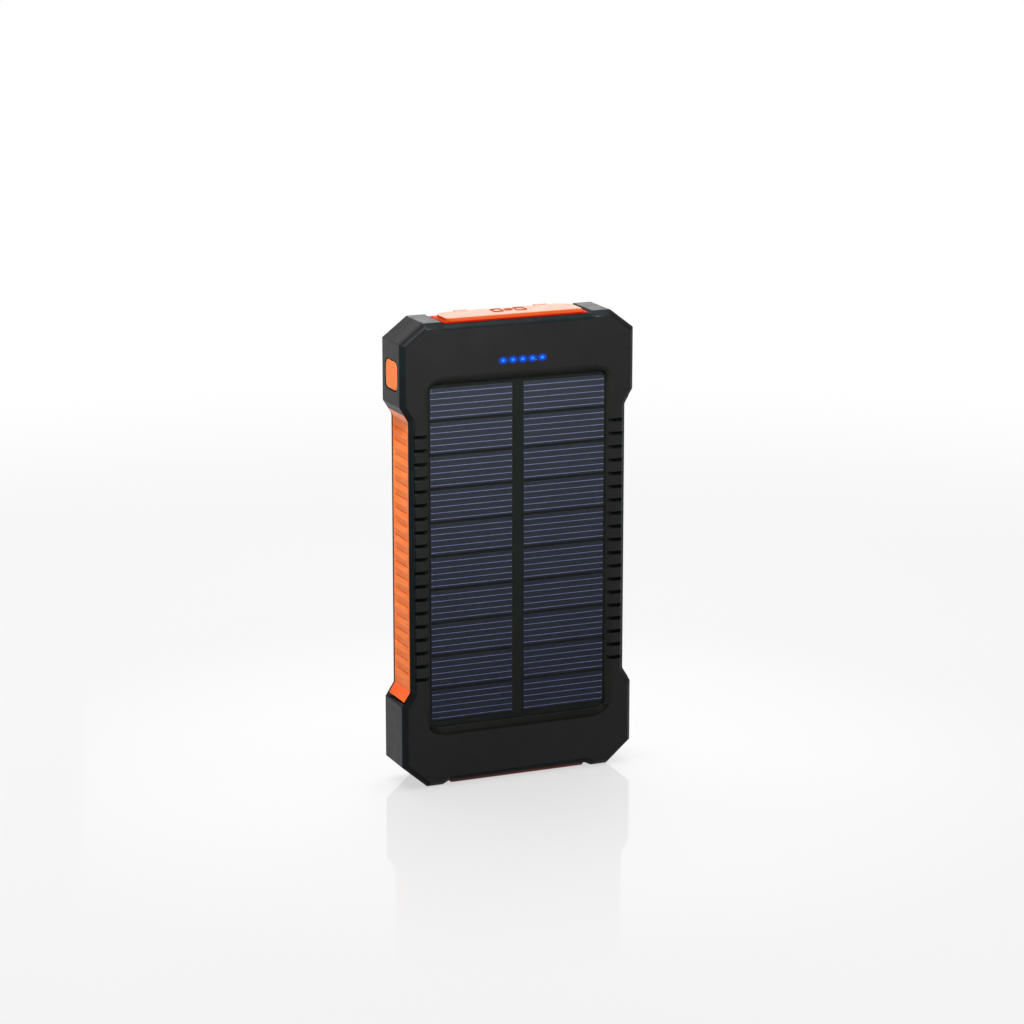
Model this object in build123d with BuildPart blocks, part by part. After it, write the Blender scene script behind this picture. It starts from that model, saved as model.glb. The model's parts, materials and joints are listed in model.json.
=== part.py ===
from build123d import *
import os

os.makedirs("parts", exist_ok=True)

# Solar phone charger, millimetres. It stands on its feet at Z = 0, with the solar face toward -Y.
# The origin is on the floor under the middle of the case, and Y = 0 is half way through it.

# Case
WIDTH = 75.2
HEIGHT = 142.0
THICKNESS = 16.0
FRONT_Y = -THICKNESS / 2
REAR_Y = THICKNESS / 2
FRONT_BEVEL = 1.6
REAR_BEVEL = 0.6
SEAM_Y = 6.8                  # the rear shell meets the front shell here
WALL = 2.0
FRONT_WALL_Y = -6.2           # inside of the front wall
WAIST_HALF = 34.9
BLOCK_HALF = WIDTH / 2
TOP_CHAMFER = (7.7, 5.9)      # across, down
BOTTOM_CHAMFER = (8.0, 6.85)
TOP_BLOCK_END = (117.3, 113.0)       # block side ends, waist begins
BOTTOM_BLOCK_END = (25.75, 30.0)
TOP_WAIST_RADIUS = 2.5
BOTTOM_WAIST_RADIUS = 1.0

# Flap bay in the top, and the matching recess between the feet
BAY_HALF = 23.5
BAY_STEP = 0.6
BAY_EDGE_Z = 141.3
BAY_FLOOR_Z = 139.2
BAY_FLOOR_THICK = 1.6
BAY_LIP_Y = -5.5
RECESS_Z = 1.0
RECESS_HALF = 22.5
FOOT_INNER = 24.5

# Solar window and panel
WINDOW_MID_Z = 71.0
WINDOW_WIDE = 61.4
WINDOW_TALL = 109.6
WINDOW_RADIUS = 6.0
PANEL_WIDE = 57.3
PANEL_TALL = 105.4
PANEL_RADIUS = 2.5
PANEL_CLEARANCE = 0.1
PANEL_FACE_Y = -7.0
CELL_FACE_Y = -6.65
PANEL_BOARD_Y = -6.4
PANEL_BACK_Y = -5.4
POCKET_FLOOR_Y = -5.1
POCKET_BACK_Y = -3.9
CELL_ROWS = 10
CELL_PITCH = 10.27
CELL_TALL = 9.3
CELL_WIDE = 26.35
CELL_COLUMN_GAP = 3.6
CELL_MID_Z = 71.37

# Grip ladder on the front and rear faces, and the side grips
RUNG_COUNT = 19
RUNG_PITCH = 4.12
RUNG_TOP_Z = 108.3
RUNG_TALL = 1.1
RUNG_SPAN = (29.0, 33.7)
RUNG_DEEP = 0.8
REAR_RUNG_DEEP = 0.5
GRIP_THICK = 1.3
GRIP_Z = (27.0, 115.0)
GRIP_Y = (-6.2, 6.4)
GRIP_MARGIN = 1.2
RIB_DEEP = 0.5
RIB_HALF = 2.0
RIB_OFFSET = 1.15             # each rib groove sits this far above its ladder rung

# Indicator lights
LIGHT_COUNT = 5
LIGHT_PITCH = 3.14
LIGHT_MID_X = 1.0
LIGHT_Z = 129.4
LIGHT_RADIUS = 0.9

# Power button and the switch behind it
BUTTON_Y = 0.25
BUTTON_Z = 126.1
BUTTON_WIDE = 8.9
BUTTON_TALL = 8.6
BUTTON_RADIUS = 2.0
BUTTON_GAP = 0.3
BUTTON_FLANGE = 0.8
BUTTON_EDGE = 0.35
STEM_RADIUS = 1.4
FLANGE_FACE_X = -35.5
FLANGE_THICK = 0.8
PLUNGER_TIP_X = -32.05
PLUNGER_END_X = -30.4
PLUNGER_RADIUS = 0.9
SWITCH_X = (-31.2, -27.6)
SWITCH_Y = (-1.9, 2.1)
SWITCH_TALL = 4.6
SWITCH_BORE = 1.7

# Main board and what stands on it
BOARD_HALF = 29.8
BOARD_Y = (-3.5, -1.9)
BOARD_Z = (113.0, 137.3)
USB_X = 14.5
USB_WIDE = 13.1
USB_TALL = 5.7
USB_DEEP = 14.0
USB_SHEET = 0.3
USB_MOUTH_Z = 139.1
MICRO_WIDE = 7.5
MICRO_TALL = 2.6
MICRO_DEEP = 5.6
MICRO_SHEET = 0.25
BOARD_RADIUS = 1.0
BOARD_SCREW = (25.8, 131.0)
BOARD_HEAD = (1.5, 0.8)       # radius, height
BOARD_SHANK = (0.7, 3.6)      # radius, length
BOARD_PILLAR = (1.8, 0.75)    # radius, bore radius
TONGUE_BASE = (12.3, 4.9, 2.0)
TONGUE_WIDE = 11.1
TONGUE_THICK = 1.84
TONGUE_MID_Y = 2.2
TONGUE_TIP_Z = 137.9
CONTACT = (1.0, 0.1, 7.5)
CONTACT_PITCH = 2.2
CONTACT_INSET = 0.8
MICRO_RADIUS = 0.8
MICRO_TONGUE = (3.8, 0.6, 4.2)
INDUCTOR = (7.3, 4.0)         # side, height
INDUCTOR_X = 14.0
INDUCTOR_Z = 118.6
CHIP_Z = 118.0
CHIPS = [
    ("converter_chip", -22.3, (5.0, 5.0, 0.9)),
    ("charging_chip", 22.3, (6.0, 5.0, 1.5)),
]
CAPACITOR = (1.25, 2.0, 1.25)
CAPACITOR_X = 26.8
CAPACITOR_Z = 118.0
CAPACITOR_PITCH = 2.8
RESISTOR = (0.8, 1.6, 0.45)
RESISTOR_Z = 132.6
LED_CHIP = (1.6, 0.8, 0.6)
GUIDE_BACK_Y = -4.5
GUIDE_TALL = 2.6

# Torch
TORCH_Z = 121.0
TORCH_LED = (3.5, 0.8)
LENS_Y = (6.6, 7.8)
LENS_RADIUS = 4.6
LENS_EDGE = 0.3
REFLECTOR_BASE_Y = -1.0
REFLECTOR_RADIUS = 5.4
REFLECTOR_CONE = (4.4, 2.0)

# Battery
PACK_HALF = 29.5
PACK_Z = (18.0, 107.5)
PACK_LAYERS = (-3.9, -3.5, 1.3, 1.5, 6.3, SEAM_Y)   # foam, pouch, tape, pouch, foam
GUARD_BOARD_HALF = 18.0
GUARD_BOARD_Z = (109.0, 112.2)
GUARD_BOARD_Y = (-0.4, 0.6)
WIRE_RADIUS = 0.6
WIRE_HOLE_RADIUS = 1.0
WIRE_BEND = 1.0
BATTERY_WIRE_X = 7.6
BATTERY_WIRE_Z = 114.6
SOLAR_WIRE_X = 3.0
SOLAR_WIRE_Z = 115.5
POUCH_RADIUS = 1.2
PAD_INSET = 4.0
TAPE_WIDE = 2.5
TAB_X = 9.0
TAB_WIDE = 4.0
TAB_THICK = 0.1
TAB_TALL = 2.8
TAB_REAR_Y = 2.0

# Port flap and its living hinge
FLAP_HALF = 23.1
FLAP_Y = (-6.5, 6.3)
FLAP_SKIRT_Z = (141.35, 141.6)
FLAP_BODY_HALF = 22.1
FLAP_BODY_Y = (-6.4, 6.2)
FLAP_BODY_Z = 141.85
FLAP_TOP_Z = 142.5
FLAP_TOP_WIDE = 43.8
FLAP_TOP_Y = (-4.0, 6.0)
FLAP_SEAT_Y = (-4.9, 6.3)
FLAP_SEAT_Z = 139.35
PLUG_BOTTOM_Z = 138.3
HINGE_Y = 7.2
HINGE_Z = 141.75
HINGE_RADIUS = 0.8
STRAP_X = 12.95
STRAP_WIDE = 3.4
STRAP_ROOT_Y = 5.0
STRAP_NOTCH_WIDE = 3.7
ANCHOR_BAR_Z = (133.2, 135.4)
ANCHOR_BAR_Y = 5.5
ANCHOR_STRAP_Y = (6.9, 7.9)
ANCHOR_GAP = 0.05
ANCHOR_BAR_WIDE = 30.3
SKIRT_RADIUS = 1.2
BODY_RADIUS = 2.0
CROWN_RADIUS = 2.6
PLUG_Y = (-0.9, 3.0)
PLUG_WIDE = 11.4
PLUG_RADIUS = 0.4
MICRO_PLUG_Y = (-1.1, 0.1)
MICRO_PLUG_WIDE = 5.6
MARK_MID = (0.7, 2.4)
MARK_RADIUS = 0.6
MARK_INNER_RADIUS = 0.35
MARK_LINE = 0.45
MARK_RAISE = 0.15
MARKS = [(-3.7, (3.4, 4.4)), (0.0, (2.4, 2.2)), (3.7, (3.4, 4.4))]

# Screws that close the case
SCREW_PLACES = [(32.4, 134.8), (33.0, 118.3), (33.0, 23.7), (31.6, 9.0)]
BOSS_RADIUS = 2.2
SCREW_RADIUS = 0.8
PILOT_RADIUS = 0.85
SCREW_TIP_Y = -2.0            # bottom of the pilot hole
SCREW_TIP_GAP = 1.0
BOSS_TOP_Y = 5.4
SCREW_SINK = 0.15
CROSS_LONG = 1.8
CROSS_WIDE = 0.4
CROSS_DEEP = 0.45
HEAD_RADIUS = 1.7
HEAD_DEEP = 0.9
FIT_GAP = 0.1

# Gasket between the shells, and the strip between the feet
GASKET_RING = (0.6, 1.2)      # outward from the cavity
GASKET_DEEP = 0.6
STRIP_HALF = 21.9
STRIP_Y = (-6.2, 5.6)
STRIP_Z = (0.15, 2.2)
STRIP_CHAMFER = 0.3

# Rear shell details
LIP_TALL = 1.2
LIP_THICK = 1.0
REAR_PANEL_WIDE = 50.0
REAR_PANEL_TALL = 78.0
REAR_PANEL_RADIUS = 4.0
REAR_PANEL_MID_Z = 66.0
REAR_PANEL_DEEP = 0.4
REAR_RUNG_WIDE = 3.6
STRAP_NOTCH_Z = 133.0

# Worked out from the sizes above
USB_MID_Y = BOARD_Y[1] + USB_TALL / 2
MICRO_MID_Y = BOARD_Y[1] + MICRO_TALL / 2
SEAT = (
    PANEL_WIDE + 2 * PANEL_CLEARANCE,
    PANEL_TALL + 2 * PANEL_CLEARANCE,
    PANEL_RADIUS + PANEL_CLEARANCE,
)
PANEL = (PANEL_WIDE, PANEL_TALL, PANEL_RADIUS)
BOARD_SCREW_POINTS = [(-BOARD_SCREW[0], BOARD_SCREW[1]), BOARD_SCREW]


def facing(y):
    """Sketch plane at depth y that faces the solar side, with local x as X and local y as Z."""
    return Plane.XZ.offset(-y)


def finish(builder, name):
    """Label one finished piece and write its STEP file."""
    builder.part.label = name
    export_step(builder.part, f"parts/{name}.step")


def right_half_points():
    """Corners of the case outline on the +X side, from the bottom middle up to the top middle."""
    return [
        (0, RECESS_Z),
        (RECESS_HALF, RECESS_Z),
        (FOOT_INNER, 0),
        (BLOCK_HALF - BOTTOM_CHAMFER[0], 0),
        (BLOCK_HALF, BOTTOM_CHAMFER[1]),
        (BLOCK_HALF, BOTTOM_BLOCK_END[0]),
        (WAIST_HALF, BOTTOM_BLOCK_END[1]),
        (WAIST_HALF, TOP_BLOCK_END[1]),
        (BLOCK_HALF, TOP_BLOCK_END[0]),
        (BLOCK_HALF, HEIGHT - TOP_CHAMFER[1]),
        (BLOCK_HALF - TOP_CHAMFER[0], HEIGHT),
        (BAY_HALF + BAY_STEP, HEIGHT),
        (BAY_HALF, BAY_EDGE_Z),
        (0, BAY_EDGE_Z),
    ]


def case_section(y, inset=0.0):
    """The case outline at depth y, drawn in by inset."""
    with BuildSketch(facing(y)) as section:
        with BuildLine():
            Polyline(*right_half_points())
            mirror(about=Plane.YZ)
        make_face()
        waist = [v for v in section.vertices() if abs(abs(v.X) - WAIST_HALF) < 0.01]
        fillet([v for v in waist if v.Y > WINDOW_MID_Z], TOP_WAIST_RADIUS)
        fillet([v for v in waist if v.Y < WINDOW_MID_Z], BOTTOM_WAIST_RADIUS)
        if inset:
            offset(amount=-inset, kind=Kind.INTERSECTION, mode=Mode.REPLACE)
    return section.sketch


def cavity_section(y, inset=0.0):
    """The space inside the walls at depth y: narrower at the waist, and lower under the flap bay."""
    waist_middle = (GRIP_Z[0] + GRIP_Z[1]) / 2
    waist_tall = GRIP_Z[1] - GRIP_Z[0] + 2 * WALL
    bay_under = BAY_FLOOR_Z - BAY_FLOOR_THICK
    with BuildSketch(facing(y)) as section:
        with BuildLine():
            Polyline(*right_half_points())
            mirror(about=Plane.YZ)
        make_face()
        offset(amount=-WALL, kind=Kind.INTERSECTION, mode=Mode.REPLACE)
        with Locations((-BLOCK_HALF, waist_middle), (BLOCK_HALF, waist_middle)):
            Rectangle(2 * (BLOCK_HALF - WAIST_HALF + GRIP_THICK + WALL), waist_tall, mode=Mode.SUBTRACT)
        with Locations((0, bay_under + WALL)):
            Rectangle(2 * (BAY_HALF + WALL), 2 * WALL, mode=Mode.SUBTRACT)
        if inset:
            offset(amount=-inset, kind=Kind.INTERSECTION, mode=Mode.REPLACE)
    return section.sketch


def screw_points():
    """The eight places of the case screws, left and right."""
    return [(side * x, z) for side in (-1, 1) for x, z in SCREW_PLACES]


def rung_heights():
    """Middle heights of the ladder rungs, from the top down."""
    return [RUNG_TOP_Z - index * RUNG_PITCH for index in range(RUNG_COUNT)]


def rung_points():
    """Middles of all the ladder rungs, left and right."""
    middle_x = (RUNG_SPAN[0] + RUNG_SPAN[1]) / 2
    return [(side * middle_x, z) for side in (-1, 1) for z in rung_heights()]


def light_points():
    """Middles of the indicator lights."""
    first_x = LIGHT_MID_X - LIGHT_PITCH * (LIGHT_COUNT - 1) / 2
    return [(first_x + index * LIGHT_PITCH, LIGHT_Z) for index in range(LIGHT_COUNT)]


def span(low, high):
    """Middle and length of a span."""
    return (low + high) / 2, high - low


def side_band(side):
    """The strip of the case side that a grip fills, on side -1 or +1."""
    middle_z, tall = span(*GRIP_Z)
    deep = GRIP_Y[1] - GRIP_Y[0]
    with BuildPart() as band:
        extrude(case_section(GRIP_Y[1]), amount=deep)
        extrude(case_section(GRIP_Y[1], inset=GRIP_THICK), amount=deep, mode=Mode.SUBTRACT)
        with Locations((side * BLOCK_HALF, 0, middle_z)):
            Box(BLOCK_HALF, 2 * THICKNESS, tall, mode=Mode.INTERSECT)
    return band.part


def window_sketch(y, wide, tall, radius):
    """A rounded rectangle around the middle of the solar window at depth y."""
    with BuildSketch(facing(y)) as section:
        with Locations((0, WINDOW_MID_Z)):
            RectangleRounded(wide, tall, radius)
    return section.sketch


def gasket_ring():
    """The ring that lies in the rim of the front shell, around the cavity."""
    with BuildPart() as ring:
        extrude(cavity_section(SEAM_Y, -GASKET_RING[1]), amount=GASKET_DEEP)
        extrude(cavity_section(SEAM_Y, -GASKET_RING[0]), amount=GASKET_DEEP, mode=Mode.SUBTRACT)
    return ring.part


# Front shell: front face, side walls, window pocket, screw bosses and the floor of the flap bay
with BuildPart() as front_shell:
    extrude(case_section(SEAM_Y), amount=SEAM_Y - FRONT_Y)
    front_face = front_shell.faces().sort_by(Axis.Y)[0]
    chamfer(front_face.outer_wire().edges(), length=FRONT_BEVEL)
    extrude(cavity_section(SEAM_Y), amount=SEAM_Y - FRONT_WALL_Y, mode=Mode.SUBTRACT)
    # Window pocket: a thicker wall inside, a sloped opening and a flat-bottomed seat
    with BuildSketch(facing(POCKET_BACK_Y)):
        with Locations((0, WINDOW_MID_Z)):
            Rectangle(2 * (WAIST_HALF - GRIP_THICK - WALL / 2), WINDOW_TALL + 2 * WALL)
    extrude(amount=POCKET_BACK_Y - FRONT_WALL_Y)
    opening = window_sketch(FRONT_Y, WINDOW_WIDE, WINDOW_TALL, WINDOW_RADIUS)
    loft([opening.face(), window_sketch(PANEL_FACE_Y, *SEAT).face()], mode=Mode.SUBTRACT)
    extrude(window_sketch(POCKET_FLOOR_Y, *SEAT), amount=POCKET_FLOOR_Y - PANEL_FACE_Y, mode=Mode.SUBTRACT)
    with BuildSketch(facing(POCKET_BACK_Y)):
        with Locations((0, SOLAR_WIRE_Z)):
            with GridLocations(2 * SOLAR_WIRE_X, 1, 2, 1):
                Circle(WIRE_HOLE_RADIUS)
    extrude(amount=POCKET_BACK_Y - POCKET_FLOOR_Y, mode=Mode.SUBTRACT)
    # Ladder rungs
    with BuildSketch(facing(FRONT_Y + RUNG_DEEP)):
        with Locations(*rung_points()):
            Rectangle(RUNG_SPAN[1] - RUNG_SPAN[0], RUNG_TALL)
    extrude(amount=2 * RUNG_DEEP, mode=Mode.SUBTRACT)
    # Holes for the indicator light posts
    with BuildSketch(facing(FRONT_WALL_Y)):
        with Locations(*light_points()):
            Circle(LIGHT_RADIUS + FIT_GAP / 2)
    extrude(amount=FRONT_WALL_Y - FRONT_Y, mode=Mode.SUBTRACT)
    # Flap bay behind the front lip, with the socket mouths in its floor
    with BuildSketch(Plane.XY.offset(BAY_FLOOR_Z)):
        with Locations((0, (BAY_LIP_Y + SEAM_Y) / 2)):
            Rectangle(2 * BAY_HALF, SEAM_Y - BAY_LIP_Y)
    extrude(amount=HEIGHT - BAY_FLOOR_Z, mode=Mode.SUBTRACT)
    with BuildSketch(Plane.XY.offset(BAY_FLOOR_Z)):
        with Locations((-USB_X, USB_MID_Y), (USB_X, USB_MID_Y)):
            Rectangle(USB_WIDE + 2 * FIT_GAP, USB_TALL + 2 * FIT_GAP)
        with Locations((0, MICRO_MID_Y)):
            Rectangle(MICRO_WIDE + 2 * FIT_GAP, MICRO_TALL + 2 * FIT_GAP)
    extrude(amount=-BAY_FLOOR_THICK, mode=Mode.SUBTRACT)
    # Seats of the side grips and of the strip between the feet
    add(side_band(-1), mode=Mode.SUBTRACT)
    add(side_band(1), mode=Mode.SUBTRACT)
    with BuildSketch(Plane.XY):
        with Locations((0, (STRIP_Y[0] + STRIP_Y[1]) / 2)):
            Rectangle(2 * (STRIP_HALF + FIT_GAP), STRIP_Y[1] - STRIP_Y[0] + 2 * FIT_GAP)
    extrude(amount=STRIP_Z[1], mode=Mode.SUBTRACT)
    # Power button hole in the left side
    with BuildSketch(Plane.YZ.offset(-BLOCK_HALF)):
        with Locations((BUTTON_Y, BUTTON_Z)):
            RectangleRounded(
                BUTTON_WIDE + 2 * BUTTON_GAP,
                BUTTON_TALL + 2 * BUTTON_GAP,
                BUTTON_RADIUS + BUTTON_GAP,
            )
    extrude(amount=WALL, mode=Mode.SUBTRACT)
    # Screw bosses and board pillars
    with BuildSketch(facing(BOSS_TOP_Y)):
        with Locations(*screw_points()):
            Circle(BOSS_RADIUS)
    extrude(amount=BOSS_TOP_Y - FRONT_WALL_Y)
    with BuildSketch(facing(BOSS_TOP_Y)):
        with Locations(*screw_points()):
            Circle(PILOT_RADIUS)
    extrude(amount=BOSS_TOP_Y - SCREW_TIP_Y, mode=Mode.SUBTRACT)
    with BuildSketch(facing(BOARD_Y[0])):
        with Locations(*BOARD_SCREW_POINTS):
            Circle(BOARD_PILLAR[0])
            Circle(BOARD_PILLAR[1], mode=Mode.SUBTRACT)
    extrude(amount=BOARD_Y[0] - FRONT_WALL_Y)
    # Gasket groove in the rim
    add(gasket_ring(), mode=Mode.SUBTRACT)
finish(front_shell, "front_shell")

with BuildPart() as case_gasket:
    add(gasket_ring())
finish(case_gasket, "case_gasket")


def rear_bosses():
    """Screw bosses of the rear shell, kept inside the cavity of the front shell."""
    with BuildPart() as bosses:
        with BuildSketch(facing(SEAM_Y)):
            with Locations(*screw_points()):
                Circle(BOSS_RADIUS)
        extrude(amount=SEAM_Y - BOSS_TOP_Y)
        extrude(cavity_section(SEAM_Y, FIT_GAP), amount=SEAM_Y - BOSS_TOP_Y, mode=Mode.INTERSECT)
    return bosses.part


# Rear shell: back plate with a locating lip, screw bosses, the torch window and two strap notches
with BuildPart() as rear_shell:
    extrude(case_section(REAR_Y), amount=REAR_Y - SEAM_Y)
    rear_face = rear_shell.faces().sort_by(Axis.Y)[-1]
    chamfer(rear_face.outer_wire().edges(), length=REAR_BEVEL)
    extrude(cavity_section(SEAM_Y, FIT_GAP), amount=LIP_TALL)
    extrude(cavity_section(SEAM_Y, FIT_GAP + LIP_THICK), amount=LIP_TALL, mode=Mode.SUBTRACT)
    add(rear_bosses())
    with BuildSketch(facing(REAR_Y)):
        with Locations(*screw_points()):
            Circle(SCREW_RADIUS + FIT_GAP)
        with Locations((0, TORCH_Z)):
            Circle(LENS_RADIUS + FIT_GAP / 2)
        with Locations((-STRAP_X, STRAP_NOTCH_Z), (STRAP_X, STRAP_NOTCH_Z)):
            Rectangle(STRAP_NOTCH_WIDE, HEIGHT - STRAP_NOTCH_Z, align=(Align.CENTER, Align.MIN))
    extrude(amount=REAR_Y - BOSS_TOP_Y, mode=Mode.SUBTRACT)
    with BuildSketch(facing(REAR_Y)):
        with Locations(*screw_points()):
            Circle(HEAD_RADIUS + FIT_GAP)
    extrude(amount=HEAD_DEEP, mode=Mode.SUBTRACT)
    # Shallow plain panel with chamfered edges, and the same ladder as on the front
    with BuildSketch(facing(REAR_Y)):
        with Locations((0, REAR_PANEL_MID_Z)):
            RectangleRounded(REAR_PANEL_WIDE, REAR_PANEL_TALL, REAR_PANEL_RADIUS)
    extrude(amount=REAR_PANEL_DEEP, taper=45, mode=Mode.SUBTRACT)
    with BuildSketch(facing(REAR_Y)):
        with Locations(*rung_points()):
            Rectangle(REAR_RUNG_WIDE, RUNG_TALL)
    extrude(amount=REAR_RUNG_DEEP, mode=Mode.SUBTRACT)
finish(rear_shell, "rear_shell")

# Countersunk case screws with a cross recess
with BuildPart() as housing_screws:
    with BuildSketch(facing(REAR_Y - SCREW_SINK)):
        with Locations(*screw_points()):
            Circle(HEAD_RADIUS)
    extrude(amount=HEAD_DEEP - SCREW_SINK)
    with BuildSketch(facing(REAR_Y - HEAD_DEEP)):
        with Locations(*screw_points()):
            Circle(SCREW_RADIUS)
    extrude(amount=REAR_Y - HEAD_DEEP - SCREW_TIP_Y - SCREW_TIP_GAP)
    with BuildSketch(facing(REAR_Y - SCREW_SINK)):
        with Locations(*screw_points()):
            Rectangle(CROSS_LONG, CROSS_WIDE)
            Rectangle(CROSS_WIDE, CROSS_LONG)
    extrude(amount=CROSS_DEEP, mode=Mode.SUBTRACT)
finish(housing_screws, "housing_screws")

# Rubber side grips with shingled ribs
for side, side_name in ((-1, "left"), (1, "right")):
    with BuildPart() as side_grip:
        add(side_band(side))
        with BuildSketch(facing(GRIP_Y[1] - GRIP_MARGIN)):
            for height in rung_heights():
                groove_z = height + RIB_OFFSET
                with BuildLine():
                    Polyline(
                        (side * WAIST_HALF, groove_z - RIB_HALF),
                        (side * (WAIST_HALF - RIB_DEEP), groove_z),
                        (side * WAIST_HALF, groove_z + RIB_HALF),
                        close=True,
                    )
                make_face()
        extrude(amount=GRIP_Y[1] - GRIP_Y[0] - 2 * GRIP_MARGIN, mode=Mode.SUBTRACT)
    finish(side_grip, f"side_grip_{side_name}")

# Rubber strip between the feet
with BuildPart() as bottom_grip_strip:
    strip_mid_y, strip_deep = span(*STRIP_Y)
    strip_mid_z, strip_tall = span(*STRIP_Z)
    with Locations((0, strip_mid_y, strip_mid_z)):
        Box(2 * STRIP_HALF, strip_deep, strip_tall)
    lower_edges = bottom_grip_strip.faces().sort_by(Axis.Z)[0].edges()
    chamfer(lower_edges, length=STRIP_CHAMFER)
finish(bottom_grip_strip, "bottom_grip_strip")

# Solar panel: board, two columns of cells, and the clear layer cast over them
with BuildPart() as solar_panel_board:
    extrude(window_sketch(PANEL_BACK_Y, *PANEL), amount=PANEL_BACK_Y - PANEL_BOARD_Y)
finish(solar_panel_board, "solar_panel_board")

with BuildPart() as solar_cells:
    with BuildSketch(facing(PANEL_BOARD_Y)):
        with Locations((0, CELL_MID_Z)):
            with GridLocations(CELL_WIDE + CELL_COLUMN_GAP, CELL_PITCH, 2, CELL_ROWS):
                Rectangle(CELL_WIDE, CELL_TALL)
    extrude(amount=PANEL_BOARD_Y - CELL_FACE_Y)
finish(solar_cells, "solar_cells")

with BuildPart() as solar_cover:
    extrude(window_sketch(PANEL_BOARD_Y, *PANEL), amount=PANEL_BOARD_Y - PANEL_FACE_Y)
    add(solar_cells.part, mode=Mode.SUBTRACT)
finish(solar_cover, "solar_cover")

with BuildPart() as panel_adhesive:
    tape_deep = POCKET_FLOOR_Y - PANEL_BACK_Y
    inner_wide = PANEL_WIDE - 2 * TAPE_WIDE
    inner_tall = PANEL_TALL - 2 * TAPE_WIDE
    extrude(window_sketch(POCKET_FLOOR_Y, *PANEL), amount=tape_deep)
    inner = window_sketch(POCKET_FLOOR_Y, inner_wide, inner_tall, PANEL_RADIUS)
    extrude(inner, amount=tape_deep, mode=Mode.SUBTRACT)
finish(panel_adhesive, "panel_adhesive")

# Indicator lights on the board, and the guide that carries them through the front wall
with BuildPart() as indicator_light_guide:
    guide_wide = LIGHT_PITCH * (LIGHT_COUNT - 1) + 3 * LIGHT_RADIUS
    with BuildSketch(facing(GUIDE_BACK_Y)):
        with Locations((LIGHT_MID_X, LIGHT_Z)):
            RectangleRounded(guide_wide, GUIDE_TALL, GUIDE_TALL / 3)
    extrude(amount=GUIDE_BACK_Y - FRONT_WALL_Y)
    with BuildSketch(facing(FRONT_WALL_Y)):
        with Locations(*light_points()):
            Circle(LIGHT_RADIUS)
    extrude(amount=FRONT_WALL_Y - FRONT_Y)
finish(indicator_light_guide, "indicator_light_guide")

with BuildPart() as indicator_leds:
    with BuildSketch(facing(BOARD_Y[0])):
        with Locations(*light_points()):
            Rectangle(*LED_CHIP[:2])
    extrude(amount=LED_CHIP[2])
finish(indicator_leds, "indicator_leds")

# Power button: cap through the side wall, flange behind it, stem to the switch plunger
with BuildPart() as power_button:
    with BuildSketch(Plane.YZ.offset(-BLOCK_HALF)):
        with Locations((BUTTON_Y, BUTTON_Z)):
            RectangleRounded(BUTTON_WIDE, BUTTON_TALL, BUTTON_RADIUS)
    extrude(amount=FLANGE_FACE_X + FLANGE_THICK + BLOCK_HALF)
    cap_edges = power_button.faces().sort_by(Axis.X)[0].edges()
    fillet(cap_edges, BUTTON_EDGE)
    with BuildSketch(Plane.YZ.offset(FLANGE_FACE_X)):
        with Locations((BUTTON_Y, BUTTON_Z)):
            RectangleRounded(
                BUTTON_WIDE + 2 * BUTTON_FLANGE,
                BUTTON_TALL + 2 * BUTTON_FLANGE,
                BUTTON_RADIUS + BUTTON_FLANGE,
            )
    extrude(amount=FLANGE_THICK)
    with BuildSketch(Plane.YZ.offset(FLANGE_FACE_X)):
        with Locations((BUTTON_Y, BUTTON_Z)):
            Circle(STEM_RADIUS)
    extrude(amount=PLUNGER_TIP_X - FLANGE_FACE_X)
finish(power_button, "power_button")

with BuildPart() as power_switch_plunger:
    with BuildSketch(Plane.YZ.offset(PLUNGER_TIP_X)):
        with Locations((BUTTON_Y, BUTTON_Z)):
            Circle(PLUNGER_RADIUS)
    extrude(amount=PLUNGER_END_X - PLUNGER_TIP_X)
finish(power_switch_plunger, "power_switch_plunger")

with BuildPart() as power_switch_body:
    switch_mid_x, switch_long = span(*SWITCH_X)
    switch_mid_y, switch_deep = span(*SWITCH_Y)
    with Locations((switch_mid_x, switch_mid_y, BUTTON_Z)):
        Box(switch_long, switch_deep, SWITCH_TALL)
    with BuildSketch(Plane.YZ.offset(SWITCH_X[0])):
        with Locations((BUTTON_Y, BUTTON_Z)):
            Circle(PLUNGER_RADIUS + FIT_GAP)
    extrude(amount=SWITCH_BORE, mode=Mode.SUBTRACT)
finish(power_switch_body, "power_switch_body")

# Main board with holes for its two screws
with BuildPart() as main_board:
    board_mid_z, board_tall = span(*BOARD_Z)
    with BuildSketch(facing(BOARD_Y[1])):
        with Locations((0, board_mid_z)):
            RectangleRounded(2 * BOARD_HALF, board_tall, BOARD_RADIUS)
        with Locations(*BOARD_SCREW_POINTS):
            Circle(PILOT_RADIUS, mode=Mode.SUBTRACT)
    extrude(amount=BOARD_Y[1] - BOARD_Y[0])
finish(main_board, "main_board")

with BuildPart() as board_screws:
    with BuildSketch(facing(BOARD_Y[1] + BOARD_HEAD[1])):
        with Locations(*BOARD_SCREW_POINTS):
            Circle(BOARD_HEAD[0])
    extrude(amount=BOARD_HEAD[1])
    with BuildSketch(facing(BOARD_Y[1])):
        with Locations(*BOARD_SCREW_POINTS):
            Circle(BOARD_SHANK[0])
    extrude(amount=BOARD_SHANK[1])
finish(board_screws, "board_screws")

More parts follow.
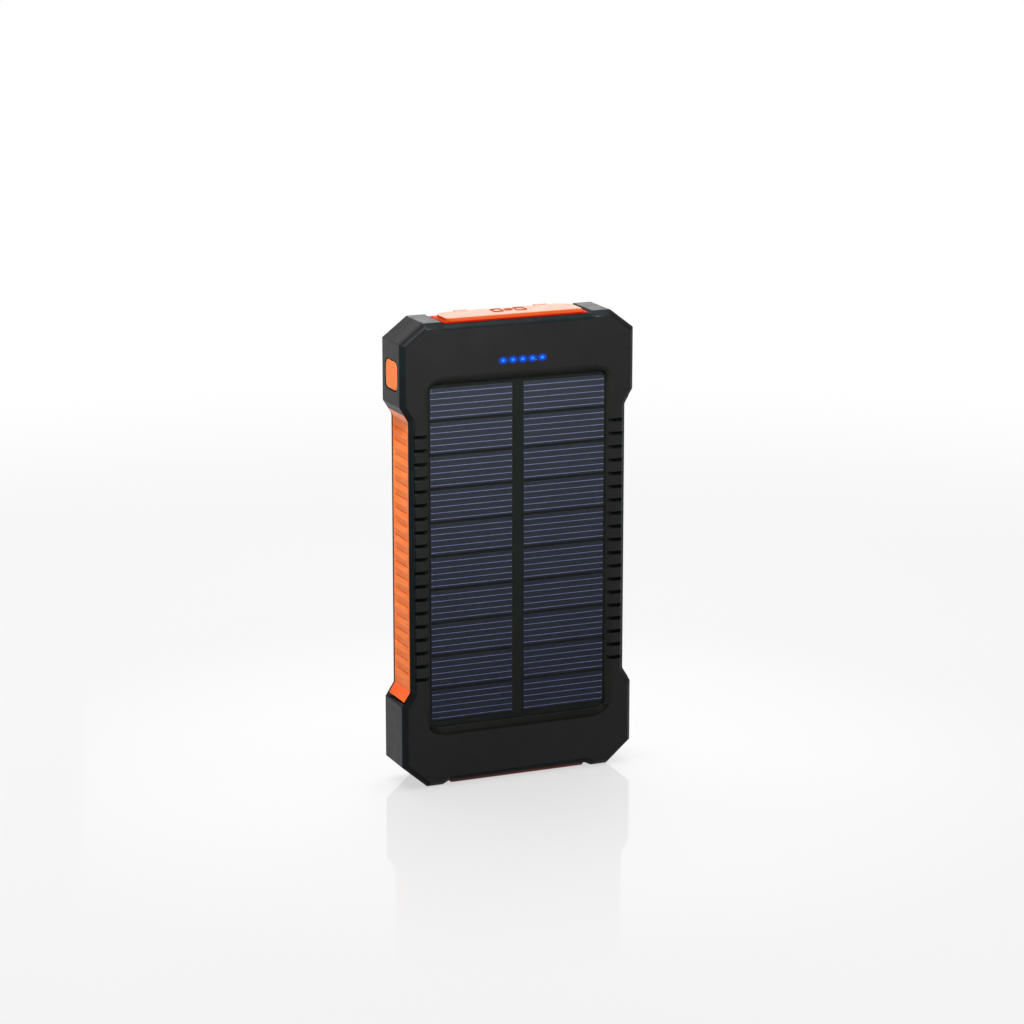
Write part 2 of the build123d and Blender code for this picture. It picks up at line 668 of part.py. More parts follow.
# Two full-size USB sockets: steel shell, tongue and four contacts each
for side, side_name in ((-1, "left"), (1, "right")):
    socket_at = (side * USB_X, USB_MID_Y)
    with BuildPart() as usb_shell:
        with BuildSketch(Plane.XY.offset(USB_MOUTH_Z)):
            with Locations(socket_at):
                RectangleRounded(USB_WIDE, USB_TALL, 2 * USB_SHEET)
        extrude(amount=-USB_DEEP)
        with BuildSketch(Plane.XY.offset(USB_MOUTH_Z)):
            with Locations(socket_at):
                RectangleRounded(USB_WIDE - 2 * USB_SHEET, USB_TALL - 2 * USB_SHEET, USB_SHEET)
        extrude(amount=USB_SHEET - USB_DEEP, mode=Mode.SUBTRACT)
    finish(usb_shell, f"usb_socket_shell_{side_name}")

    tongue_floor_z = USB_MOUTH_Z - USB_DEEP + USB_SHEET
    with BuildPart() as usb_tongue:
        with BuildSketch(Plane.XY.offset(tongue_floor_z)):
            with Locations(socket_at):
                Rectangle(TONGUE_BASE[0], TONGUE_BASE[1])
        extrude(amount=TONGUE_BASE[2])
        with BuildSketch(Plane.XY.offset(tongue_floor_z)):
            with Locations((side * USB_X, TONGUE_MID_Y)):
                Rectangle(TONGUE_WIDE, TONGUE_THICK)
        extrude(amount=TONGUE_TIP_Z - tongue_floor_z)
    finish(usb_tongue, f"usb_tongue_{side_name}")

    with BuildPart() as usb_contacts:
        contact_y = TONGUE_MID_Y - TONGUE_THICK / 2 - CONTACT[1] / 2
        contact_z = TONGUE_TIP_Z - CONTACT_INSET - CONTACT[2] / 2
        with Locations((side * USB_X, contact_y, contact_z)):
            with GridLocations(CONTACT_PITCH, 1, 4, 1):
                Box(*CONTACT)
    finish(usb_contacts, f"usb_contacts_{side_name}")

# Micro socket that takes the charging plug
with BuildPart() as micro_socket_shell:
    with BuildSketch(Plane.XY.offset(USB_MOUTH_Z)):
        with Locations((0, MICRO_MID_Y)):
            RectangleRounded(MICRO_WIDE, MICRO_TALL, MICRO_RADIUS)
    extrude(amount=-MICRO_DEEP)
    with BuildSketch(Plane.XY.offset(USB_MOUTH_Z)):
        with Locations((0, MICRO_MID_Y)):
            RectangleRounded(
                MICRO_WIDE - 2 * MICRO_SHEET,
                MICRO_TALL - 2 * MICRO_SHEET,
                MICRO_RADIUS - MICRO_SHEET,
            )
    extrude(amount=MICRO_SHEET - MICRO_DEEP, mode=Mode.SUBTRACT)
finish(micro_socket_shell, "micro_socket_shell")

with BuildPart() as micro_tongue:
    micro_floor_z = USB_MOUTH_Z - MICRO_DEEP + MICRO_SHEET
    with BuildSketch(Plane.XY.offset(micro_floor_z)):
        with Locations((0, MICRO_MID_Y + MICRO_TONGUE[1] / 2)):
            Rectangle(*MICRO_TONGUE[:2])
    extrude(amount=MICRO_TONGUE[2])
finish(micro_tongue, "micro_tongue")

# Converter and charging parts on the rear side of the board
with BuildPart() as inductors:
    with BuildSketch(facing(BOARD_Y[1] + INDUCTOR[1])):
        with Locations((0, INDUCTOR_Z)):
            with GridLocations(2 * INDUCTOR_X, 1, 2, 1):
                RectangleRounded(INDUCTOR[0], INDUCTOR[0], INDUCTOR[0] / 6)
    extrude(amount=INDUCTOR[1])
finish(inductors, "inductors")

for chip_name, chip_x, chip_size in CHIPS:
    with BuildPart() as chip:
        with BuildSketch(facing(BOARD_Y[1] + chip_size[2])):
            with Locations((chip_x, CHIP_Z)):
                Rectangle(*chip_size[:2])
        extrude(amount=chip_size[2])
    finish(chip, chip_name)

with BuildPart() as board_capacitors:
    with BuildSketch(facing(BOARD_Y[1] + CAPACITOR[2])):
        with Locations((-CAPACITOR_X, CAPACITOR_Z), (CAPACITOR_X, CAPACITOR_Z)):
            with GridLocations(1, CAPACITOR_PITCH, 1, 3):
                Rectangle(*CAPACITOR[:2])
    extrude(amount=CAPACITOR[2])
finish(board_capacitors, "board_capacitors")

with BuildPart() as board_resistors:
    with BuildSketch(facing(BOARD_Y[0])):
        with Locations((LIGHT_MID_X, RESISTOR_Z)):
            with GridLocations(LIGHT_PITCH, 1, LIGHT_COUNT, 1):
                Rectangle(*RESISTOR[:2])
    extrude(amount=RESISTOR[2])
finish(board_resistors, "board_resistors")

# Torch on the rear: light source, cone reflector and lens
with BuildPart() as torch_led:
    with BuildSketch(facing(BOARD_Y[1] + TORCH_LED[1])):
        with Locations((0, TORCH_Z)):
            Rectangle(TORCH_LED[0], TORCH_LED[0])
    extrude(amount=TORCH_LED[1])
finish(torch_led, "torch_led")

with BuildPart() as torch_reflector:
    with BuildSketch(facing(LENS_Y[0])):
        with Locations((0, TORCH_Z)):
            Circle(REFLECTOR_RADIUS)
    extrude(amount=LENS_Y[0] - REFLECTOR_BASE_Y)
    with BuildSketch(facing(LENS_Y[0])):
        with Locations((0, TORCH_Z)):
            Circle(REFLECTOR_CONE[0])
    with BuildSketch(facing(REFLECTOR_BASE_Y)):
        with Locations((0, TORCH_Z)):
            Circle(REFLECTOR_CONE[1])
    loft(mode=Mode.SUBTRACT)
finish(torch_reflector, "torch_reflector")

with BuildPart() as torch_lens:
    with BuildSketch(facing(LENS_Y[1])):
        with Locations((0, TORCH_Z)):
            Circle(LENS_RADIUS)
    extrude(amount=LENS_Y[1] - LENS_Y[0])
    fillet(torch_lens.faces().sort_by(Axis.Y)[-1].edges(), LENS_EDGE)
finish(torch_lens, "torch_lens")

# Battery: two pouches in a stack, with tape between them and foam in front and behind
pack_mid_z, pack_tall = span(*PACK_Z)
foam_front, pouch_front, tape_front, pouch_rear, foam_rear, pack_end = PACK_LAYERS
for pouch_name, pouch_y in (("front", (pouch_front, tape_front)), ("rear", (pouch_rear, foam_rear))):
    with BuildPart() as battery_pouch:
        pouch_mid_y, pouch_deep = span(*pouch_y)
        with Locations((0, pouch_mid_y, pack_mid_z)):
            Box(2 * PACK_HALF, pouch_deep, pack_tall)
        fillet(battery_pouch.edges().filter_by(Axis.Z), POUCH_RADIUS)
    finish(battery_pouch, f"battery_pouch_{pouch_name}")

for pad_name, pad_y in (
    ("foam_pad_front", (foam_front, pouch_front)),
    ("pouch_tape", (tape_front, pouch_rear)),
    ("foam_pad_rear", (foam_rear, pack_end)),
):
    with BuildPart() as pad:
        pad_mid_y, pad_deep = span(*pad_y)
        with Locations((0, pad_mid_y, pack_mid_z)):
            Box(2 * PACK_HALF - PAD_INSET, pad_deep, pack_tall - PAD_INSET)
    finish(pad, pad_name)

with BuildPart() as battery_guard_board:
    guard_mid_y, guard_deep = span(*GUARD_BOARD_Y)
    guard_mid_z, guard_tall = span(*GUARD_BOARD_Z)
    with Locations((0, guard_mid_y, guard_mid_z)):
        Box(2 * GUARD_BOARD_HALF, guard_deep, guard_tall)
finish(battery_guard_board, "battery_guard_board")

with BuildPart() as battery_tabs:
    # front pouch: straight tabs against the front of the guard board
    with Locations((0, GUARD_BOARD_Y[0] - TAB_THICK / 2, PACK_Z[1] + TAB_TALL / 2)):
        with GridLocations(2 * TAB_X, 1, 2, 1):
            Box(TAB_WIDE, TAB_THICK, TAB_TALL)
    # rear pouch: tabs that turn over to the rear of the guard board
    with Locations((0, TAB_REAR_Y, PACK_Z[1] + TAB_TALL / 2)):
        with GridLocations(2 * TAB_X, 1, 2, 1):
            Box(TAB_WIDE, TAB_THICK, TAB_TALL)
    turn_mid_y, turn_long = span(GUARD_BOARD_Y[1], TAB_REAR_Y)
    with Locations((0, turn_mid_y, PACK_Z[1] + TAB_TALL - TAB_THICK / 2)):
        with GridLocations(2 * TAB_X, 1, 2, 1):
            Box(TAB_WIDE, turn_long, TAB_THICK)
finish(battery_tabs, "battery_tabs")

# Wires: battery to board over one bend, and panel to board straight through the pocket floor
for side, pole in ((-1, "positive"), (1, "negative")):
    wire_y = (GUARD_BOARD_Y[0] + GUARD_BOARD_Y[1]) / 2
    wire_x = side * BATTERY_WIRE_X
    with BuildPart() as battery_lead:
        with BuildLine() as route:
            FilletPolyline(
                (wire_x, wire_y, GUARD_BOARD_Z[1]),
                (wire_x, wire_y, BATTERY_WIRE_Z),
                (wire_x, BOARD_Y[1], BATTERY_WIRE_Z),
                radius=WIRE_BEND,
            )
        with BuildSketch(Plane(origin=route.line @ 0, z_dir=route.line % 0)):
            Circle(WIRE_RADIUS)
        sweep()
    finish(battery_lead, f"battery_lead_{pole}")

    with BuildPart() as solar_lead:
        with BuildSketch(facing(BOARD_Y[0])):
            with Locations((side * SOLAR_WIRE_X, SOLAR_WIRE_Z)):
                Circle(WIRE_RADIUS)
        extrude(amount=BOARD_Y[0] - PANEL_BACK_Y)
    finish(solar_lead, f"solar_lead_{pole}")

# Rubber flap over the sockets: thin skirt, sloped body, seat in the bay, plugs and hinge straps
with BuildPart() as port_flap:
    skirt_mid_y, skirt_deep = span(*FLAP_Y)
    with BuildSketch(Plane.XY.offset(FLAP_SKIRT_Z[0])):
        with Locations((0, skirt_mid_y)):
            RectangleRounded(2 * FLAP_HALF, skirt_deep, SKIRT_RADIUS)
    extrude(amount=FLAP_SKIRT_Z[1] - FLAP_SKIRT_Z[0])
    body_mid_y, body_deep = span(*FLAP_BODY_Y)
    with BuildSketch(Plane.XY.offset(FLAP_SKIRT_Z[1])):
        with Locations((0, body_mid_y)):
            RectangleRounded(2 * FLAP_BODY_HALF, body_deep, BODY_RADIUS)
    extrude(amount=FLAP_BODY_Z - FLAP_SKIRT_Z[1])
    crown_mid_y, crown_deep = span(*FLAP_TOP_Y)
    with BuildSketch(Plane.XY.offset(FLAP_BODY_Z)):
        with Locations((0, body_mid_y)):
            RectangleRounded(2 * FLAP_BODY_HALF, body_deep, BODY_RADIUS)
    with BuildSketch(Plane.XY.offset(FLAP_TOP_Z)):
        with Locations((0, crown_mid_y)):
            RectangleRounded(FLAP_TOP_WIDE, crown_deep, CROWN_RADIUS)
    loft()
    seat_mid_y, seat_deep = span(*FLAP_SEAT_Y)
    with BuildSketch(Plane.XY.offset(FLAP_SEAT_Z)):
        with Locations((0, seat_mid_y)):
            RectangleRounded(2 * FLAP_HALF, seat_deep, SKIRT_RADIUS)
    extrude(amount=FLAP_SKIRT_Z[0] - FLAP_SEAT_Z)
    # Plugs that stop the socket mouths
    plug_mid_y, plug_deep = span(*PLUG_Y)
    micro_plug_mid_y, micro_plug_deep = span(*MICRO_PLUG_Y)
    with BuildSketch(Plane.XY.offset(FLAP_SEAT_Z)):
        with Locations((-USB_X, plug_mid_y), (USB_X, plug_mid_y)):
            RectangleRounded(PLUG_WIDE, plug_deep, PLUG_RADIUS)
        with Locations((0, micro_plug_mid_y)):
            RectangleRounded(MICRO_PLUG_WIDE, micro_plug_deep, PLUG_RADIUS)
    extrude(amount=PLUG_BOTTOM_Z - FLAP_SEAT_Z)
    # Hinge straps: a bar from the crown to a round knuckle on the hinge line
    strap_mid_y, strap_long = span(STRAP_ROOT_Y, HINGE_Y)
    with Locations((0, strap_mid_y, HINGE_Z)):
        with GridLocations(2 * STRAP_X, 1, 2, 1):
            Box(STRAP_WIDE, strap_long, 2 * HINGE_RADIUS)
    with Locations((0, HINGE_Y, HINGE_Z)):
        with GridLocations(2 * STRAP_X, 1, 2, 1):
            Cylinder(HINGE_RADIUS, STRAP_WIDE, rotation=(0, 90, 0))
    # Raised outlines of the three sockets below
    with BuildSketch(Plane.XY.offset(FLAP_TOP_Z)):
        for mark_x, mark_size in MARKS:
            with Locations((MARK_MID[0] + mark_x, MARK_MID[1])):
                RectangleRounded(*mark_size, MARK_RADIUS)
                inner_size = [length - 2 * MARK_LINE for length in mark_size]
                RectangleRounded(*inner_size, MARK_INNER_RADIUS, mode=Mode.SUBTRACT)
    extrude(amount=MARK_RAISE)
finish(port_flap, "port_flap")

# The fixed end of the same rubber: two straps in the rear shell notches, joined by a bar inside
with BuildPart() as flap_anchor:
    anchor_top_z = HINGE_Z - HINGE_RADIUS - ANCHOR_GAP
    anchor_mid_z, anchor_tall = span(ANCHOR_BAR_Z[0], anchor_top_z)
    strap_out_mid_y, strap_out_deep = span(*ANCHOR_STRAP_Y)
    with Locations((0, strap_out_mid_y, anchor_mid_z)):
        with GridLocations(2 * STRAP_X, 1, 2, 1):
            Box(STRAP_WIDE, strap_out_deep, anchor_tall)
    bar_mid_y, bar_deep = span(ANCHOR_BAR_Y, ANCHOR_STRAP_Y[0])
    bar_mid_z, bar_tall = span(*ANCHOR_BAR_Z)
    with Locations((0, bar_mid_y, bar_mid_z)):
        with GridLocations(2 * STRAP_X, 1, 2, 1):
            Box(STRAP_WIDE, bar_deep, bar_tall)
    inner_mid_y, inner_deep = span(ANCHOR_BAR_Y, SEAM_Y)
    with Locations((0, inner_mid_y, bar_mid_z)):
        Box(ANCHOR_BAR_WIDE, inner_deep, bar_tall)
finish(flap_anchor, "flap_anchor")
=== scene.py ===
import math
import json

import bmesh
import bpy
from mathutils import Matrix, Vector

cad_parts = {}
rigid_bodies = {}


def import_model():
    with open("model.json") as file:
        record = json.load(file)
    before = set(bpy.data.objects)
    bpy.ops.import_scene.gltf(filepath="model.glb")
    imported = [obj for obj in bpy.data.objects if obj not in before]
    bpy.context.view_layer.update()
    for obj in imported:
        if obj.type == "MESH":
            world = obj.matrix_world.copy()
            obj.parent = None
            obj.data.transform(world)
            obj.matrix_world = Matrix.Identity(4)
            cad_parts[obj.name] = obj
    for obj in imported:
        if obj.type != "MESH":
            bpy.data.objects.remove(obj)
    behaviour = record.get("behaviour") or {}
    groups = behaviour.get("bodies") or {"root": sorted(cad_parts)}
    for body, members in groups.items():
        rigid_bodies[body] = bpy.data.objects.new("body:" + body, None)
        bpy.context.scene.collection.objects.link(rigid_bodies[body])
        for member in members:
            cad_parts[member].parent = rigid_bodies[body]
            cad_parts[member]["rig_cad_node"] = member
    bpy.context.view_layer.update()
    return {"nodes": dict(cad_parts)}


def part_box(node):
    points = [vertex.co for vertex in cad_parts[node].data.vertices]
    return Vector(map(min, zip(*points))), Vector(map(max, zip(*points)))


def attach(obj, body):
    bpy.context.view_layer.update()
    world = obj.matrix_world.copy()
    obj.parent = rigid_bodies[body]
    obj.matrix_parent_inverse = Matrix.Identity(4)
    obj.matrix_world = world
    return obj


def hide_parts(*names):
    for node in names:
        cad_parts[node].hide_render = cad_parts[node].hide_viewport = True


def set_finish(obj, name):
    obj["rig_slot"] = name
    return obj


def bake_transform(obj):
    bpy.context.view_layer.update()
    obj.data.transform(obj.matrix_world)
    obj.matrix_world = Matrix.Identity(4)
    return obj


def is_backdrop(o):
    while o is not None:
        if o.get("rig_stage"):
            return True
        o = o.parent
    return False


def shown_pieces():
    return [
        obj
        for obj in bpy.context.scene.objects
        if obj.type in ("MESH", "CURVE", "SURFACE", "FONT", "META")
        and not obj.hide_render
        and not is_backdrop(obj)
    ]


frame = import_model()

# Solar phone charger, in metres, in the frame of the CAD model: +Z up, solar face toward -Y.

MM = 0.001
WELD_REACH = 0.001 * MM      # corners closer than this are one
NODES = frame["nodes"]
SCENE = bpy.context.scene


# ---------------------------------------------------------------- mesh helpers


def new_piece(name, mesh, body, slot_name, stands_for=()):
    """One visible piece: its object, the body it moves with and the record's material slot."""
    piece = bpy.data.objects.new(name, mesh)
    SCENE.collection.objects.link(piece)
    if body:
        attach(piece, body)
    if slot_name:
        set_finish(piece, slot_name)
    if stands_for:
        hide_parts(*stands_for)
    return piece


def mesh_from(name, build):
    """A mesh filled by a function that works on a bmesh in metres."""
    mesh = bpy.data.meshes.new(name)
    work = bmesh.new()
    build(work)
    bmesh.ops.recalc_face_normals(work, faces=work.faces)
    work.to_mesh(mesh)
    work.free()
    return mesh


def smooth_shade(piece, angle=35.0):
    """Smooth shading with sharp edges kept above the angle, and flat faces kept flat."""
    for polygon in piece.data.polygons:
        polygon.use_smooth = True
    piece.data.set_sharp_from_angle(angle=math.radians(angle))
    normals = piece.modifiers.new("flat_faces_first", "WEIGHTED_NORMAL")
    normals.keep_sharp = True


def clean_copy(name, node, edge_width):
    """A copy of a CAD node's surface with merged flat faces, and its widest rounding.

    edge_width gives an edge's rounding in millimetres, from its two ends and its angle in degrees.
    """
    widths = []

    def build(work):
        work.from_mesh(NODES[node].data)
        bmesh.ops.remove_doubles(work, verts=work.verts, dist=0.002 * MM)
        bmesh.ops.dissolve_limit(
            work,
            angle_limit=math.radians(0.6),
            use_dissolve_boundaries=False,
            verts=work.verts,
            edges=work.edges,
        )
        widths.extend([0.0] * len(work.edges))
        work.edges.ensure_lookup_table()
        for index, edge in enumerate(work.edges):
            if len(edge.link_faces) == 2:
                angle = math.degrees(edge.calc_face_angle(0.0))
                start, end = (corner.co / MM for corner in edge.verts)
                widths[index] = edge_width(start, end, angle)
        widest = max(widths)
        layer = work.edges.layers.float.new("bevel_weight_edge")
        for edge, width in zip(work.edges, widths):
            edge[layer] = width / widest

    mesh = mesh_from(name, build)
    return mesh, max(widths)


def rounded_node(name, node, body, slot_name, edge_width):
    """A piece that stands for a CAD node, with its edges rounded as edge_width says."""
    mesh, widest = clean_copy(name, node, edge_width)
    mesh.materials.clear()
    mesh.materials.append(MATERIALS[slot_name])
    piece = new_piece(name, mesh, body, slot_name, [node])
    rounding = piece.modifiers.new("rounded_edges", "BEVEL")
    rounding.limit_method = "WEIGHT"
    rounding.width = widest * MM
    rounding.segments = 3
    rounding.use_clamp_overlap = False
    joined = piece.modifiers.new("joined_corners", "WELD")
    joined.merge_threshold = WELD_REACH
    for polygon in piece.data.polygons:
        polygon.use_smooth = True
    normals = piece.modifiers.new("flat_faces_first", "WEIGHTED_NORMAL")
    normals.keep_sharp = True
    return piece


def ring_loft(work, rings, cap_first=True, cap_last=True):
    """Joins rings of equally many points, in millimetres, into one skin."""
    rows = [[work.verts.new(Vector(point) * MM) for point in ring] for ring in rings]
    count = len(rows[0])
    for lower, upper in zip(rows, rows[1:]):
        for index in range(count):
            after = (index + 1) % count
            work.faces.new((lower[index], lower[after], upper[after], upper[index]))
    if cap_first:
        work.faces.new(rows[0])
    if cap_last:
        work.faces.new(rows[-1])
    return rows


def rounded_rectangle(low_a, high_a, low_b, high_b, radii, steps=6):
    """Points round a rectangle in a plane; radii for its corners from low-low round to low-high."""
    corners = [
        (low_a, low_b, 1, 1, 180),
        (high_a, low_b, -1, 1, 270),
        (high_a, high_b, -1, -1, 0),
        (low_a, high_b, 1, -1, 90),
    ]
    points = []
    for (a, b, sign_a, sign_b, first), radius in zip(corners, radii):
        for step in range(steps + 1):
            turn = math.radians(first + 90 * step / steps)
            points.append((
                a + sign_a * radius + radius * math.cos(turn),
                b + sign_b * radius + radius * math.sin(turn),
            ))
    return points


# ---------------------------------------------------------------- material helpers


class Surface:
    """A node material with one Principled shader, and short ways to add nodes to it."""

    def __init__(self, name, **sockets):
        self.material = bpy.data.materials.new(name + "_finish")
        self.material.use_nodes = True
        tree = self.material.node_tree
        self.nodes = tree.nodes
        self.links = tree.links
        self.shader = self.nodes["Principled BSDF"]
        self.output = self.nodes["Material Output"]
        for socket, value in sockets.items():
            self.shader.inputs[socket.replace("_", " ")].default_value = value
        self.place = self.nodes.new("ShaderNodeTexCoord").outputs["Object"]

    def node(self, kind, inputs=(), **settings):
        made = self.nodes.new("ShaderNode" + kind)
        for setting, value in settings.items():
            setattr(made, setting, value)
        for socket, value in dict(inputs).items():
            if isinstance(value, bpy.types.NodeSocket):
                self.links.new(value, made.inputs[socket])
            else:
                made.inputs[socket].default_value = value
        return made

    def stretched(self, scale):
        """The place on the surface with each axis scaled."""
        return self.node("Mapping", {"Vector": self.place, "Scale": scale}).outputs["Vector"]

    def noise(self, scale, detail=3.0, roughness=0.55, stretch=None):
        place = self.stretched(stretch) if stretch else self.place
        made = self.node(
            "TexNoise",
            {"Vector": place, "Scale": scale, "Detail": detail, "Roughness": roughness},
        )
        return made.outputs["Fac"]

    def remap(self, value, low, high, to_low=0.0, to_high=1.0, smooth=False):
        made = self.node(
            "MapRange",
            {
                "Value": value,
                "From Min": low,
                "From Max": high,
                "To Min": to_low,
                "To Max": to_high,
            },
            interpolation_type="SMOOTHSTEP" if smooth else "LINEAR",
        )
        return made.outputs["Result"]

    def math(self, operation, first, second=0.0):
        made = self.node("Math", {0: first, 1: second}, operation=operation)
        return made.outputs[0]

    def axis(self, name):
        return self.node("SeparateXYZ", {0: self.place}).outputs[name]

    def mix(self, factor, first, second):
        made = self.node("Mix", data_type="RGBA")
        for socket, value in ((0, factor), (6, first), (7, second)):
            if isinstance(value, bpy.types.NodeSocket):
                self.links.new(value, made.inputs[socket])
            else:
                made.inputs[socket].default_value = value
        return made.outputs[2]

    def ramp(self, value, stops):
        made = self.node("ValToRGB", {"Fac": value})
        elements = made.color_ramp.elements
        while len(elements) < len(stops):
            elements.new(0.5)
        for element, (position, colour) in zip(elements, stops):
            element.position = position
            element.color = colour
        return made.outputs["Color"]

    def set(self, socket, value):
        self.links.new(value, self.shader.inputs[socket])

    def bump(self, heights):
        """Chained bumps, each from (height, strength, distance in millimetres)."""
        last = None
        for height, strength, distance in heights:
            inputs = {"Height": height, "Strength": strength, "Distance": distance * MM}
            if last is not None:
                inputs["Normal"] = last
            last = self.node("Bump", inputs).outputs["Normal"]
        self.links.new(last, self.shader.inputs["Normal"])


def srgb(red, green, blue):
    """A colour given in screen values from 0 to 255."""

    def linear(value):
        value /= 255.0
        return value / 12.92 if value <= 0.04045 else ((value + 0.055) / 1.055) ** 2.4

    return (linear(red), linear(green), linear(blue), 1.0)


def moulded(
    name, dark, light, roughness, grain_mm=0.35, grain=0.12, waviness=0.06, wear_and_sheen=None, **sockets,
):
    """Moulded plastic or rubber: two close tones, fine grain, uneven gloss, and a patchy tone that
    stands for wear and painted sheen.
    """
    surface = Surface(name, Roughness=roughness, **sockets)
    clouds = surface.noise(70.0, 4.0)
    specks = surface.noise(1.0 / (0.5 * grain_mm * MM), 2.0)
    colour = surface.mix(surface.remap(clouds, 0.3, 0.7), dark, light)
    colour = surface.mix(surface.remap(specks, 0.4, 0.8, 0.0, 0.5), colour, light)
    if wear_and_sheen:
        patchy = surface.remap(surface.noise(350.0, 4.0, 0.6), 0.42, 0.66, 0.15, 0.9)
        colour = surface.mix(patchy, colour, wear_and_sheen)
    surface.set("Base Color", colour)
    gloss = surface.remap(surface.noise(260.0, 5.0), 0.3, 0.7, roughness - 0.04, roughness + 0.05)
    surface.set("Roughness", gloss)
    grain_height = surface.noise(1.0 / (grain_mm * MM), 3.0, 0.6)
    waves = surface.noise(45.0, 2.0)
    surface.bump([(waves, waviness, 0.2), (grain_height, grain, 0.03)])
    return surface


def faded(surface, value, reach, to_low=0.0, to_high=1.0, smooth=False):
    """A value turned into a share over a reach given in millimetres."""
    return surface.remap(value, reach[0] * MM, reach[1] * MM, to_low, to_high, smooth)


LIGHT_PITCH = 3.14
LIGHT_COUNT = 5
LIGHT_SQUASH = 1.35      # the glow is wider than it is tall
HALO_FADE = (0.9, 1.9)
HALO_FRONT_Y = -7.9      # the halo falls on the front face only


def light_reach(surface):
    """Distance on the face to the nearest indicator light, and 1 along their row or 0 past it."""
    low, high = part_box("indicator_light_guide")
    pitch = LIGHT_PITCH * MM
    middle_x = (low.x + high.x) / 2
    first_x = middle_x - pitch * LIGHT_COUNT / 2
    across = surface.math("SUBTRACT", surface.axis("X"), first_x)
    side = surface.math("SUBTRACT", surface.math("MODULO", across, pitch), pitch / 2)
    rise = surface.math("SUBTRACT", surface.axis("Z"), (low.z + high.z) / 2)
    rise = surface.math("MULTIPLY", rise, LIGHT_SQUASH)
    reach = surface.math("SQRT", surface.math(
        "ADD", surface.math("MULTIPLY", side, side), surface.math("MULTIPLY", rise, rise),
    ))
    past = surface.math("ABSOLUTE", surface.math("SUBTRACT", surface.axis("X"), middle_x))
    in_row = surface.math("LESS_THAN", past, pitch * LIGHT_COUNT / 2)
    return reach, in_row


def add_light_halo(surface):
    """A faint blue spill on the plastic round the indicator lights."""
    reach, in_row = light_reach(surface)
    spill = faded(surface, reach, HALO_FADE, 1.0, 0.0, smooth=True)
    front = surface.math("LESS_THAN", surface.axis("Y"), HALO_FRONT_Y * MM)
    share = surface.math("MULTIPLY", surface.math("MULTIPLY", spill, in_row), front)
    halo = surface.mix(share, (0.0, 0.0, 0.0, 1.0), (0.0, 0.05, 0.5, 1.0))
    surface.set("Emission Color", halo)
    black = surface.shader.inputs["Base Color"].links[0].from_socket
    surface.set("Base Color", surface.mix(share, black, (0.0, 0.0, 0.0, 1.0)))
    surface.shader.inputs["Emission Strength"].default_value = 1.0


# ---------------------------------------------------------------- materials


MATERIALS = {}


def keep(slot_name, surface):
    MATERIALS[slot_name] = surface.material
    return surface


add_light_halo(keep("case_black", moulded(
    "case_black", srgb(16, 16, 16), srgb(21, 21, 21), 0.38, Specular_IOR_Level=0.15,
)))
# Bevel faces of the front shell: a darker, teal copy of the case finish, painted shade with a
# painted reflection tint, and lighter patches that are partly wear and partly painted sheen.
keep("case_edge_shade", moulded(
    "case_edge_shade", srgb(7, 12, 13), srgb(11, 16, 17), 0.45, wear_and_sheen=srgb(14, 21, 23),
    Specular_IOR_Level=0.08,
))
# A darker, duller copy of the case finish for the corner chamfers: painted shade.
keep("case_corner_shade", moulded(
    "case_corner_shade", srgb(13, 14, 15), srgb(18, 19, 20), 0.5, Specular_IOR_Level=0.06,
))
# Inside the ladder's slots: a near-black copy of the case finish, painted shade.
keep("rung_shade", moulded(
    "rung_shade", srgb(10, 13, 13), srgb(15, 18, 18), 0.7, Specular_IOR_Level=0.05,
))
# Slopes of the solar window's recess: darker copies of the case finish, painted shade; the
# up-facing sill is darkest.
keep("window_edge_shade", moulded(
    "window_edge_shade", srgb(15, 15, 13), srgb(20, 20, 17), 0.5, Specular_IOR_Level=0.12,
))
keep("window_sill_shade", moulded(
    "window_sill_shade", srgb(8, 8, 7), srgb(12, 12, 10), 0.6, Specular_IOR_Level=0.05,
))
keep("gasket_rubber", moulded("gasket_rubber", srgb(22, 22, 23), srgb(34, 34, 35), 0.7))


# Where painted tones change, in millimetres: painted highlight and painted shade on the grips'
# slants, painted shade on the flap's rim, and painted light down the solar panel.
GRIP_HIGHLIGHT_Z = (112.0, 113.4)
GRIP_SHADE_Z = (31.2, 29.6)
RIM_SHADE_Z = (141.72, 142.0)
RIM_SHADE_FRONT_Y = (-5.4, -5.0)
RIM_SHADE_END_X = (22.2, 22.5)
PANEL_SHADE_Z = (15, 125)


def grip_surface():
    """Orange rubber, with a painted highlight, paler, on the slant under the upper block, and
    painted shade, redder, on the slant over the lower.
    """
    surface = moulded(
        "grip_orange", srgb(253, 116, 38), srgb(255, 132, 54), 0.55, Specular_IOR_Level=0.12,
    )
    orange = surface.shader.inputs["Base Color"].links[0].from_socket
    streaks = surface.noise(1500.0, 3.0, stretch=(1.0, 0.1, 1.0))
    orange = surface.mix(surface.remap(streaks, 0.42, 0.7, 0.0, 0.5), orange, srgb(255, 160, 106))
    height = surface.axis("Z")
    # painted highlight on the upper slant, painted shade on the lower slant
    upper = faded(surface, height, GRIP_HIGHLIGHT_Z, 0.0, 0.6, smooth=True)
    lower = faded(surface, height, GRIP_SHADE_Z, 0.0, 0.8, smooth=True)
    pale = surface.mix(upper, orange, srgb(255, 178, 150))
    surface.set("Base Color", surface.mix(lower, pale, srgb(228, 74, 20)))
    return surface


keep("grip_orange", grip_surface())


